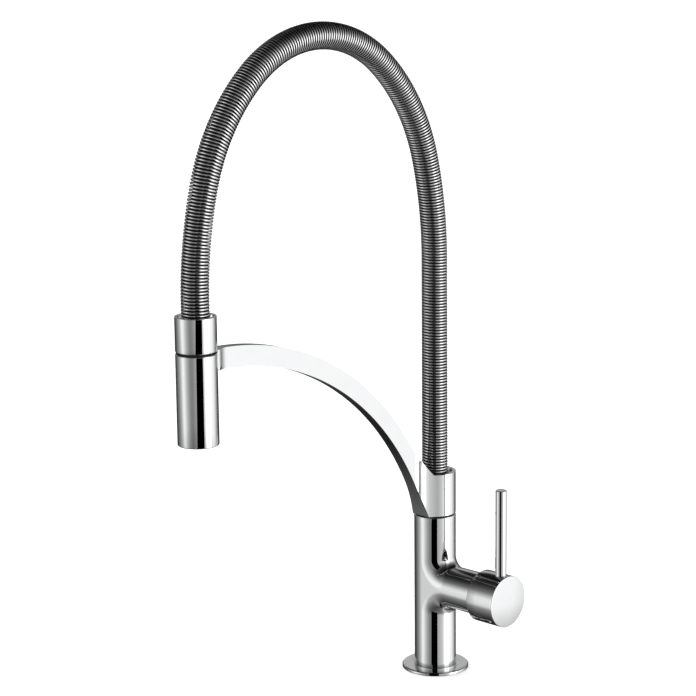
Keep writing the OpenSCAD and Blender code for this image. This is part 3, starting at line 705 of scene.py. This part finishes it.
# The two inlets and the fixing stud's hole are threaded, with a ridge every millimetre.
THREAD_DEPTH = 0.35
THREAD_START = 0.25
for mount in frame["record"]["mounts"]:
    if mount["kind"] == "threaded_hole":
        bore_wide = mount["dims"]["r_mm"]
        bore_deep = mount["dims"]["length_mm"]
        ridge = np.arange(2 * (bore_deep - 1))
        thread = np.stack([bore_wide - THREAD_DEPTH * (ridge % 2), THREAD_START + ridge / 2], -1)
        bottom = [(bore_wide, bore_deep), (0, bore_deep)]
        bore_profile = np.concatenate([[(bore_wide, FOOT_LIFT)], thread, bottom])
        bore = turned_grid(bore_profile, (*mount["pos_m"][:2], 0), steps=48)
        body.add(bore, columns_close=True)
        foot_loops.append(bore[0])
body.add_flat(foot_loops)
body.add(turned_grid(mouth_profile, (0, 0, BRANCH_Z * MM), "X"), columns_close=True)
make_piece("column", body, CHROME, "faucet_body", ["body_casting"])

# %% [markdown]
# ## The collar and the arm
# The collar turns on the column and carries the arm, and both are one casting. Seen from above it is
# an outline: the collar's circle, a concave blend, two flanks that draw together, and a small saddle
# that cups the spray head. Seen from the side, two curves give its upper and lower edge. Every point of
# the outline becomes an upright line between those two curves, and the top and bottom faces run level
# across the arm. So the shape is described by one outline and two heights, and chrome shows it as three
# clean mirrors with crisp edges.

# %% The arm's two edges, seen from the side
# Half the arm's width at the head and at its root, the length it tapers over, and its depth.
ARM_HALF = 4.1
ROOT_HALF = 5.1
TAPER = 150.0
ARM_DEPTH = 15.0
ARM_TOP = arm_high[2]
# The concave blend from the arm into the collar, and the collar's rim, ledge and recess.
ROOT_BLEND = 30.0
RIM_IN = 3.6
COLLAR_TOP = COLLAR_Z + 33.0
LEDGE_Z = COLLAR_Z + 19.0
RECESS_R = BODY_R - 2.9
# The saddle's half width, the flare that leads out to it, its rim and its gap to the head.
SADDLE_HALF = 7.7
FLARE_R = 18.0
SADDLE_RIM = 0.8
DOCK_GAP = 0.3
# Between the arc of the upper edge and the collar's rim runs a straight of this length.
STRAIGHT = 49.2
DOCK_R = HEAD_R + DOCK_GAP
DOCK_Y = HEAD_Y + DOCK_R
RIM_Y = -BODY_R + RIM_IN

run = RIM_Y - DOCK_Y
rise = ARM_TOP - COLLAR_TOP
TOP_R = (run**2 + rise**2 - STRAIGHT**2) / (2 * rise)
leave = math.atan2(TOP_R - rise, run) + math.acos(TOP_R / math.hypot(run, TOP_R - rise))
LEAVE_Y = DOCK_Y + TOP_R * math.cos(leave)
LEAVE_Z = ARM_TOP - TOP_R + TOP_R * math.sin(leave)
under_run = -BODY_R - DOCK_Y
under_rise = ARM_TOP - ARM_DEPTH - COLLAR_Z
UNDER_R = (under_run**2 + under_rise**2) / (2 * under_rise)


def upper_edge(y):
    """Level at the head, an arc of radius TOP_R, a straight that touches it, then the collar's rim."""
    along = np.clip(y - DOCK_Y, 0, None)
    arc = ARM_TOP - TOP_R + np.sqrt(np.clip(TOP_R**2 - along**2, 0, None))
    slope = (COLLAR_TOP - LEAVE_Z) / (RIM_Y - LEAVE_Y)
    straight = LEAVE_Z + slope * (y - LEAVE_Y)
    return np.where(y < LEAVE_Y, arc, np.where(y < RIM_Y, straight, COLLAR_TOP))


def lower_edge(y):
    """Level at the head, then an arc of radius UNDER_R that ends at the collar's foot."""
    along = np.clip(y - DOCK_Y, 0, None)
    arc = ARM_TOP - ARM_DEPTH - UNDER_R + np.sqrt(np.clip(UNDER_R**2 - along**2, 0, None))
    return np.where(y < -BODY_R, arc, COLLAR_Z)


print(f"arm: upper edge radius {TOP_R:.1f} mm, lower edge radius {UNDER_R:.1f} mm")

# %% The arm's outline, seen from above
# The blend's centre lies ROOT_BLEND from the flank and BODY_R + ROOT_BLEND from the collar's axis.
slope = (ROOT_HALF - ARM_HALF) / TAPER
steepness = 1 + slope**2
offset = ROOT_HALF + slope * BODY_R + ROOT_BLEND * math.sqrt(steepness)
inside_root = (offset * slope) ** 2 - steepness * (offset**2 - (BODY_R + ROOT_BLEND) ** 2)
blend_y = (-offset * slope - math.sqrt(inside_root)) / steepness
BLEND_C = np.array([offset + slope * blend_y, blend_y])
TOUCH = BLEND_C * BODY_R / (BODY_R + ROOT_BLEND)
LEAVE_BLEND = BLEND_C - ROOT_BLEND * np.array([1, -slope]) / math.sqrt(steepness)
FLARE_X = ARM_HALF + FLARE_R
FLARE_C = np.array([FLARE_X, HEAD_Y + math.sqrt((DOCK_R + SADDLE_RIM + FLARE_R) ** 2 - FLARE_X**2)])


def stack(x, y):
    """Points (x, y) from two lists, either of which may be one number."""
    return np.stack(np.broadcast_arrays(np.asarray(x, float), np.asarray(y, float)), -1)


collar_a = np.linspace(np.pi / 2, math.atan2(TOUCH[1], TOUCH[0]), 72)
collar_part = stack(BODY_R * np.cos(collar_a), BODY_R * np.sin(collar_a))
fillet_y = np.linspace(TOUCH[1], LEAVE_BLEND[1], 24)
fillet_y = np.sort(np.append(fillet_y, [RIM_Y, -RECESS_R, -BODY_R]))[::-1]
fillet_part = stack(BLEND_C[0] - np.sqrt(ROOT_BLEND**2 - (fillet_y - BLEND_C[1]) ** 2), fillet_y)[1:]
taper_y = np.linspace(LEAVE_BLEND[1], -BODY_R - TAPER, 90)[1:]
taper_part = stack(ROOT_HALF + slope * (BODY_R + taper_y), taper_y)
blade_part = stack(ARM_HALF, np.linspace(-BODY_R - TAPER, FLARE_C[1], 40)[1:])
flare_end = math.acos((FLARE_C[0] - SADDLE_HALF) / FLARE_R)
dock_turn = math.asin((FLARE_C[1] - DOCK_Y) / FLARE_R)
flare_a = np.append(np.linspace(0, dock_turn, 14)[1:], np.linspace(dock_turn, flare_end, 9)[1:])
flare_part = stack(FLARE_C[0] - FLARE_R * np.cos(flare_a), FLARE_C[1] - FLARE_R * np.sin(flare_a))
tip_a = math.asin(SADDLE_HALF / DOCK_R)
tip = stack([SADDLE_HALF], [HEAD_Y + DOCK_R * math.cos(tip_a)])
outline = np.concatenate([collar_part, fillet_part, taper_part, blade_part, flare_part, tip])
print(len(outline), "points on half of the arm's outline")

# %% Fill the arm's faces
# The magnet's slot in the saddle: half its width and height, its depth, and its levels on the arm.
SLOT_HALF = 2.55
SLOT_HALF_HEIGHT = 5.05
SLOT_BACK = DOCK_Y + 2.05
ARM_FOOT = ARM_TOP - ARM_DEPTH
SLOT_LOW = ARM_FOOT + ARM_DEPTH / 2 - SLOT_HALF_HEIGHT
SLOT_HIGH = ARM_FOOT + ARM_DEPTH / 2 + SLOT_HALF_HEIGHT
LEVELS = (np.array([ARM_FOOT, SLOT_LOW, SLOT_HIGH, ARM_TOP]) - ARM_FOOT) / ARM_DEPTH
dock_a = np.sort(np.append(np.linspace(0, tip_a, 9), math.asin(SLOT_HALF / DOCK_R)))
dock_arc = stack(DOCK_R * np.sin(dock_a), HEAD_Y + DOCK_R * np.cos(dock_a))


def wall(points, levels=LEVELS):
    """Upright lines through the points of an outline, from the lower edge to the upper edge."""
    low = lower_edge(points[:, 1])[:, None]
    high = upper_edge(points[:, 1])[:, None]
    z = low + (high - low) * levels[None, :]
    return np.stack([points[:, :1] + 0 * z, points[:, 1:] + 0 * z, z], -1)


def between(outer, inner, edge):
    """Straight lines across from an outer to an inner outline, at the height of one edge."""
    flat = np.stack([outer, inner], 1)
    return np.concatenate([flat, edge(flat[..., 1])[..., None]], -1)


def circle_points(radius, start, end, count):
    """Points along a circle round the collar's axis, from one angle to another."""
    a = np.linspace(start, end, count)
    return stack(radius * np.cos(a), radius * np.sin(a))


# Points this close to a line count as on it.
CLOSE = 1e-9
over_rim = outline[:, 1] >= RIM_Y - CLOSE
over_arm = ~over_rim & (outline[:, 1] >= DOCK_Y - CLOSE)
beside_dock = outline[:, 1] < DOCK_Y + CLOSE
rim_end = -math.asin(-RIM_Y / RECESS_R)
top_inner = circle_points(RECESS_R, np.pi / 2, rim_end, over_rim.sum())
arm_y = outline[over_arm][:, 1]
arm_inner = stack(np.sqrt(np.clip(RECESS_R**2 - arm_y**2, 0, None)), arm_y)
arm_outer = np.concatenate([outline[over_rim][-1:], outline[over_arm]])
upper_rows = [
    between(outline[over_rim], top_inner, upper_edge),
    between(arm_outer, np.concatenate([top_inner[-1:], arm_inner]), upper_edge),
]
recess_top = np.concatenate([top_inner, arm_inner[arm_inner[:, 1] > -RECESS_R - CLOSE]])

before_foot = outline[:, 1] >= -BODY_R - CLOSE
after_foot = ~before_foot & (outline[:, 1] >= DOCK_Y - CLOSE)
bore_r = SPIGOT_R + 0.05
bore_rim = circle_points(bore_r, np.pi / 2, -np.pi / 2, len(recess_top))
bore_inner = np.concatenate([bore_rim, np.repeat(bore_rim[-1:], before_foot.sum() - len(bore_rim), 0)])
foot_point = outline[before_foot][-1:]
blade_outer = np.concatenate([foot_point, outline[after_foot]])
blade_middle = np.concatenate([stack([0], [-BODY_R]), stack(0, outline[after_foot][:, 1])])
under_rows = [
    between(outline[before_foot], bore_inner, lower_edge),
    between(np.repeat(foot_point, 2, 0), stack([0, 0], [-bore_r, -BODY_R]), lower_edge),
    between(blade_outer, blade_middle, lower_edge),
]


def saddle_face(edge):
    """The saddle's level face, between the flare's outline and the dock's arc."""
    return between(outline[beside_dock], dock_arc, edge)


def at_height(points, height):
    """Flat points lifted to a height, which is one number or one for each point."""
    return np.concatenate([points, np.broadcast_to(height, len(points))[:, None]], -1)


def strip(first, first_height, second, second_height):
    """Lines from each point at one height to its partner at another."""
    return np.stack([at_height(first, first_height), at_height(second, second_height)], 1)


slot_mouth = dock_arc[dock_arc[:, 0] <= SLOT_HALF + CLOSE]
slot_back = stack(slot_mouth[:, 0], SLOT_BACK)
slot_side = np.stack([slot_mouth[-1], slot_back[-1]])
beside_slot = dock_arc[dock_arc[:, 0] >= SLOT_HALF - CLOSE]
half_arm = [
    wall(outline),
    *upper_rows,
    *under_rows,
    saddle_face(upper_edge),
    saddle_face(lower_edge),
    strip(recess_top, upper_edge(recess_top[:, 1]), recess_top, LEDGE_Z),
    strip(recess_top, LEDGE_Z, bore_rim, LEDGE_Z),
    strip(bore_rim, COLLAR_Z, bore_rim, LEDGE_Z),
    wall(beside_slot),
    wall(slot_mouth, LEVELS[:2]),
    wall(slot_mouth, LEVELS[2:]),
    strip(slot_mouth, SLOT_LOW, slot_back, SLOT_LOW),
    strip(slot_mouth, SLOT_HIGH, slot_back, SLOT_HIGH),
    strip(slot_back, SLOT_LOW, slot_back, SLOT_HIGH),
    strip(slot_side, SLOT_LOW, slot_side, SLOT_HIGH),
]

arm = Patches()
for grid in half_arm:
    arm.add(grid * MM)
    arm.add(grid * MM * np.array([-1, 1, 1]), turn=True)
CRISP = 30
arm_piece = make_piece("arm_and_collar", arm, CHROME, "swivel_arm", ["support_arm"], CRISP, 1e-6)
edge_round = arm_piece.modifiers.new("edge_round", "BEVEL")
edge_round.width = 0.0008
edge_round.segments = 2
edge_round.limit_method = "ANGLE"
edge_round.angle_limit = math.radians(CRISP)
edge_round.harden_normals = True

# %% [markdown]
# ## The hose and its spring
# A plastic hose runs inside a close-wound spring of stainless wire. The spring keeps the hose from
# kinking and gives the arch its shape. A texture of stripes on a tube would look painted, because the
# turns show as a scalloped edge against the light. So the coil is real: the wire's centre runs round
# the hose's centreline, and a small circle is carried along it.
# The centreline is drawn as the hose hangs: straight up from the collar, a slow bend, a tighter one,
# the top of the arch, and the same again down to the head.

# %% The hose's centreline
coupling_low, coupling_high = box_of("hose_coupling")
NECK = 8.9
MOUTH_DEPTH = 12.5
BEND_Z = coupling_high[2] + NECK
MOUTH_Z = coupling_high[2] - MOUTH_DEPTH
SEAT_TOP = box_of("spring_seat")[1][2]
SLOW_R = 300.0
SLOW_A = math.radians(15)
MIDDLE_R = 145.0
MIDDLE_A = math.radians(50)
HALF_REACH = -HEAD_Y / 2
slow_reach = SLOW_R * (1 - math.cos(SLOW_A))
middle_reach = MIDDLE_R * (math.cos(SLOW_A) - math.cos(MIDDLE_A))
TOP_BEND_R = (HALF_REACH - slow_reach - middle_reach) / math.cos(MIDDLE_A)
SLOW_C = np.array([-SLOW_R, BEND_Z])
MIDDLE_C = SLOW_C + (SLOW_R - MIDDLE_R) * np.array([math.cos(SLOW_A), math.sin(SLOW_A)])
TOP_C = MIDDLE_C + (MIDDLE_R - TOP_BEND_R) * np.array([math.cos(MIDDLE_A), math.sin(MIDDLE_A)])
FLIP = np.array([-1, 1])
OVER = np.array([HEAD_Y, 0])
# Each stretch is a length, a centre, a radius and the angle it starts at. A straight has radius 0.
STRETCHES = [
    (BEND_Z - SEAT_TOP, np.array([0, SEAT_TOP]), 0, 0.0),
    (SLOW_R * SLOW_A, SLOW_C, SLOW_R, 0.0),
    (MIDDLE_R * (MIDDLE_A - SLOW_A), MIDDLE_C, MIDDLE_R, SLOW_A),
    (TOP_BEND_R * (math.pi - 2 * MIDDLE_A), TOP_C, TOP_BEND_R, MIDDLE_A),
    (MIDDLE_R * (MIDDLE_A - SLOW_A), OVER + FLIP * MIDDLE_C, MIDDLE_R, math.pi - MIDDLE_A),
    (SLOW_R * SLOW_A, OVER + FLIP * SLOW_C, SLOW_R, math.pi - SLOW_A),
    (BEND_Z - MOUTH_Z, np.array([HEAD_Y, BEND_Z]), 0, math.pi),
]
STARTS = np.concatenate([[0], np.cumsum([stretch[0] for stretch in STRETCHES])])
HOSE_LENGTH = STARTS[-1]
print(f"hose: {HOSE_LENGTH:.0f} mm along its middle, top bend radius {TOP_BEND_R:.1f} mm")


def centreline(length):
    """Place (y, z) and outward angle at each length along the hose, in mm.

    On an arc of radius r the outward angle is its start plus length / r, and the place is the centre
    plus r in that direction. On a straight the angle stays, and the place moves square to it.
    """
    piece = np.clip(np.searchsorted(STARTS, length, side="right") - 1, 0, len(STRETCHES) - 1)
    rest = length - STARTS[piece]
    centre = np.array([stretch[1] for stretch in STRETCHES])[piece]
    radius = np.array([stretch[2] for stretch in STRETCHES], float)[piece]
    first = np.array([stretch[3] for stretch in STRETCHES])[piece]
    angle = first + np.where(radius > 0, rest / np.maximum(radius, 1), 0)
    outward = np.stack([np.cos(angle), np.sin(angle)], -1)
    forward = np.stack([-np.sin(angle), np.cos(angle)], -1)
    place = centre + outward * radius[..., None] + forward * (rest * (radius == 0))[..., None]
    return place, angle


def round_hose(length, turn, radius):
    """A point radius away from the centreline, turned round it.

    Turn 0 is outward, in the arch's plane.
    """
    place, angle = centreline(length)
    out = radius * np.cos(turn)
    return np.stack([
        radius * np.sin(turn),
        place[..., 0] + out * np.cos(angle),
        place[..., 1] + out * np.sin(angle),
    ], -1)


# %% The inner hose
def pipe_piece(name, lengths, radii, material, sides=40):
    """A tube along the hose: at each length a circle of the matching radius, closed at both ends."""
    turn = np.linspace(0, 2 * np.pi, sides, endpoint=False)[None, :]
    grid = round_hose(lengths[:, None] + 0 * turn, turn + 0 * lengths[:, None], radii[:, None])
    patches = Patches()
    patches.add(grid * MM, columns_close=True)
    return make_piece(name, patches, material, None, sharp=40)


HOSE_R = 7.4
END_GAP = 0.05
steps_along = np.linspace(END_GAP, HOSE_LENGTH - END_GAP, 340)
hose_lengths = np.concatenate([steps_along[:1], steps_along, steps_along[-1:]])
hose_radii = np.concatenate([[0.0], np.full(len(steps_along), HOSE_R), [0.0]])
hose = pipe_piece("hose", hose_lengths, hose_radii, HOSE)
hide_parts("inner_hose")

# %% The spring
SPRING_R = box_of("hose_spring")[1][0]
SKIN_GAP = 0.1
WIRE = 1.9
PITCH = 2.26
STEPS_PER_TURN = 26
WIRE_SIDES = 8


def coil_grid():
    """Wire wound round the hose's centreline.

    Along the wire the turn grows by a full circle for each pitch of hose length. With e the direction
    from the centreline to the wire and n the hose's own direction, each point of the wire's skin is the
    wire's centre plus half the wire's width times (cos b * e + sin b * n). The ends are ground flat.
    """
    start = WIRE / 2 + SKIN_GAP
    end = HOSE_LENGTH - WIRE / 2 - SKIN_GAP
    turns = (end - start) / PITCH
    along = np.linspace(start, end, int(turns * STEPS_PER_TURN))[:, None]
    turn = 2 * np.pi * (along - start) / PITCH
    b = np.linspace(0, 2 * np.pi, WIRE_SIDES, endpoint=False)[None, :]
    middle = SPRING_R - WIRE / 2 - SKIN_GAP
    skin = round_hose(along + WIRE / 2 * np.sin(b), turn + 0 * b, middle + WIRE / 2 * np.cos(b))
    return skin, np.cos(b), turns


coil, coil_crest, coil_turns = coil_grid()
tips = [np.repeat(last[None].mean(axis=1, keepdims=True), WIRE_SIDES, 1) for last in (coil[0], coil[-1])]
spring_patches = Patches()
spring_patches.add(np.concatenate([tips[0], coil, tips[1]]) * MM, columns_close=True)
# The crest attribute drives the painted shade in the valleys between the spring's turns.
crest = np.broadcast_to(coil_crest, (len(coil) + 2, WIRE_SIDES))
spring = make_piece("hose_coil", spring_patches, SPRING, None, sharp=60,
                    attribute=("crest", crest))
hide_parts("hose_spring")
print(f"spring: {coil_turns:.0f} turns of {WIRE} mm wire")

# %% [markdown]
# The head pulls down, and the real hose slides out of the column through the arch. Here the hose and
# the spring are not moved with the head: their placement is only baked into their points.

# %% Bake the placement of the hose and the spring
for piece in (hose, spring):
    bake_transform(piece)

# %% [markdown]
# ## The spray head
# The head is two chrome sleeves. The upper one stays with the hose and the lower one turns below it,
# and the black ring between them is set back. Inside the lower rim sits a plastic face with soft
# nozzles, which are rubbed to break off lime.

# %% Upper sleeve
MOUTH_R = HEAD_R - 2.2
THROAT_R = HEAD_R - 4.5
head_at = (0, HEAD_Y * MM, 0)
coupling_profile = rounded([
    (THROAT_R, coupling_low[2]), (HEAD_R, coupling_low[2]), (HEAD_R, coupling_high[2]),
    (MOUTH_R, coupling_high[2]), (MOUTH_R, MOUTH_Z), (THROAT_R, MOUTH_Z),
], [0.2, 0.9, 0.45, 0.35, 0.2, 0.2])
turned_piece("upper_sleeve", coupling_profile, head_at, CHROME, "hose_end", ["hose_coupling"])

# %% Lower sleeve
SLEEVE_BORE = HEAD_R - 2.0
sleeve_profile = rounded([
    (SLEEVE_BORE, sleeve_low[2]), (HEAD_R, sleeve_low[2]),
    (HEAD_R, sleeve_high[2]), (SLEEVE_BORE, sleeve_high[2]),
], [0.5, 0.7, 0.85, 0.2])
turned_piece("lower_sleeve", sleeve_profile, head_at, CHROME, "spray_head", ["spray_sleeve"])

# %% Seam ring
seam_low, seam_high = box_of("seam_ring")
SEAM_BORE = 6.3
SEAM_R = HEAD_R - 0.5
SEAM_TOP = seam_high[2] - 0.03
seam_profile = rounded([
    (SEAM_BORE, seam_low[2]), (SEAM_R, seam_low[2]), (SEAM_R, SEAM_TOP), (SEAM_BORE, SEAM_TOP),
], 0.15)
turned_piece("head_seam", seam_profile, head_at, BLACK_PLASTIC, "spray_head", ["seam_ring"])

# %% Spray face with soft nozzles
face_low, face_high = box_of("spray_face")
FACE_R = HEAD_R - 2.05
face_profile = rounded([
    (0, face_low[2]), (FACE_R, face_low[2]), (FACE_R, face_high[2]), (0, face_high[2]),
], [0, 0.6, 0.2, 0], closed=False)
turned_piece("spray_face", face_profile, head_at, GREY_PLASTIC, "spray_head", ["spray_face"],
             closes=False)

# Each ring of nozzles is a number of nozzles and the ring's radius.
NOZZLE_RINGS = [(14, FACE_R - 2.95), (7, FACE_R - 6.45), (1, 0.0)]
# A nozzle's radius and height from the spray face: its root, its skirt, its lip and its bore.
nozzle_profile = np.array([
    (0.0, 0.31), (1.45, 0.31), (1.40, 0.0), (1.18, -0.12), (1.02, -0.75), (0.94, -0.86), (0.80, -0.9),
    (0.62, -0.86), (0.55, -0.7), (0.55, 0.2), (0.0, 0.2),
])
nozzles = Patches()
for count, ring_r in NOZZLE_RINGS:
    for a in np.linspace(0, 2 * np.pi, count, endpoint=False):
        place = np.array([ring_r * math.cos(a), HEAD_Y + ring_r * math.sin(a), face_low[2]]) * MM
        nozzles.add(turned_grid(nozzle_profile, place, steps=18), columns_close=True)
make_piece("nozzles", nozzles, RUBBER, "spray_head")

# %% [markdown]
# ## The lever
# The lever is a heavy chrome cap over the end of the branch with a long pin screwed into its top. A
# grub screw in a small hole underneath clamps the cap to the cartridge's stem. Holes in a curved wall
# are where a boolean leaves ragged shading, so the wall is laid out flat instead: a rectangle of the
# wall is filled by lines that run from its edge to the hole's circle, and then it is rolled up.

# %% A round wall with holes
def drilled_wall(radius, ends, window, holes, steps=128, half_window=7):
    """Patches for a tube's outer wall along x with a round hole at each (angle, place, radius, bottom).

    The wall is a grid of angle and x. Each hole has a window of the grid, and a point of the window is
    rim * (1 - t) + circle * t, where rim is on the window's edge and circle in the same direction on
    the hole. The hole's own wall goes straight in, to a flat bottom.
    """
    step = 2 * np.pi / steps
    lines = np.linspace(*window, int(round(window[1] - window[0])) + 1)
    level = len(lines) - 1

    def rolled(a, x):
        """Points of the wall at angles a and places x."""
        a, x = np.broadcast_arrays(a, x)
        return np.stack([x, radius * np.cos(a), radius * np.sin(a)], -1)

    whole_turn = np.arange(steps)[None, :] * step
    made = [
        (rolled(whole_turn, np.array([ends[0], window[0]])[:, None]), True),
        (rolled(whole_turn, np.array([window[1], ends[1]])[:, None]), True),
    ]
    middles = sorted(round(hole[0] / step) for hole in holes)
    for first, second in zip(middles, middles[1:] + [middles[0] + steps]):
        a = np.arange(first + half_window, second - half_window + 1) * step
        made.append((rolled(a[None, :], lines[:, None]), False))
    for angle, x0, hole_r, bottom in holes:
        middle = round(angle / step)
        a = np.arange(middle - half_window, middle + half_window + 1) * step
        round_way = len(a) - 1
        rim_a = np.concatenate([a[:-1], np.full(level, a[-1]), a[:0:-1], np.full(level, a[0])])
        rim_x = np.concatenate([
            np.full(round_way, lines[0]), lines[:-1], np.full(round_way, lines[-1]), lines[:0:-1],
        ])
        over = radius * (rim_a - angle)
        away = np.arctan2(rim_x - x0, over)
        circle_y = hole_r * np.cos(away)
        circle_x = hole_r * np.sin(away)
        t = np.linspace(0, 1, 6)[:, None]
        flat_a = angle + (over * (1 - t) + radius * np.arcsin(circle_y / radius) * t) / radius
        made.append((rolled(flat_a, rim_x * (1 - t) + (x0 + circle_x) * t), True))
        wide = np.array([1, 1, 0])[:, None]
        x = x0 + circle_x * wide
        y = circle_y * wide
        height = np.stack([np.sqrt(radius**2 - circle_y**2), bottom + 0 * away, bottom + 0 * away])
        across_y = height * math.cos(angle) - y * math.sin(angle)
        across_z = height * math.sin(angle) + y * math.cos(angle)
        made.append((np.stack([x, across_y, across_z], -1), True))
    return made


# %% Cap
CAP_REAR = cap_low[0]
CAP_FRONT = cap_high[0]
CAP_WALL = 1.4
CAP_BORE = CAP_R - CAP_WALL
SOLID_X = CAP_REAR + 10.3
HUB_R = 7.0
HUB_X = BRANCH_END + 4.0
EDGE = 0.5
# The stretch of the cap's wall that both holes are cut in.
DRILLED = (58.2, 73.2)
PIN_GAP = 0.06
GRUB_HOLE_R = 2.03
pin_low, pin_high = box_of("lever_pin")
grub_low, grub_high = box_of("grub_screw")
PIN_X = (pin_low[0] + pin_high[0]) / 2
PIN_R = (pin_high[0] - pin_low[0]) / 2
GRUB_X = (grub_low[0] + grub_high[0]) / 2
front_profile = np.concatenate([corner_round(CAP_R, CAP_FRONT, EDGE), [(0, CAP_FRONT)]])
rear_profile = np.concatenate([
    [(0, HUB_X), (HUB_R, HUB_X), (HUB_R, SOLID_X), (CAP_BORE, SOLID_X), (CAP_BORE, CAP_REAR)],
    corner_round(CAP_R, -CAP_REAR, EDGE)[::-1] * np.array([1, -1]),
])
cap = Patches()
cap_at = np.array([0, 0, BRANCH_Z])
for profile in (front_profile, rear_profile):
    cap.add(turned_grid(profile, cap_at * MM, "X"), columns_close=True)
holes = [
    (math.pi / 2, PIN_X, PIN_R + PIN_GAP, pin_low[2] - BRANCH_Z - 0.5),
    (1.5 * math.pi, GRUB_X, GRUB_HOLE_R, BRANCH_Z - grub_high[2] - 0.1),
]
for grid, ring in drilled_wall(CAP_R, (CAP_REAR + EDGE, CAP_FRONT - EDGE), DRILLED, holes):
    cap.add((grid + cap_at) * MM, columns_close=ring)
make_piece("lever_cap", cap, CHROME, "lever", ["lever_cap"], merge=1e-6)

# %% Pin
pin_profile = np.concatenate([
    [(0, pin_low[2]), (PIN_R, pin_low[2])],
    corner_round(PIN_R, pin_high[2], 0.7, 6),
    [(0, pin_high[2])],
])
turned_piece("lever_pin", pin_profile, (PIN_X * MM, 0, 0), CHROME, "lever", ["lever_pin"],
             closes=False, steps=64)
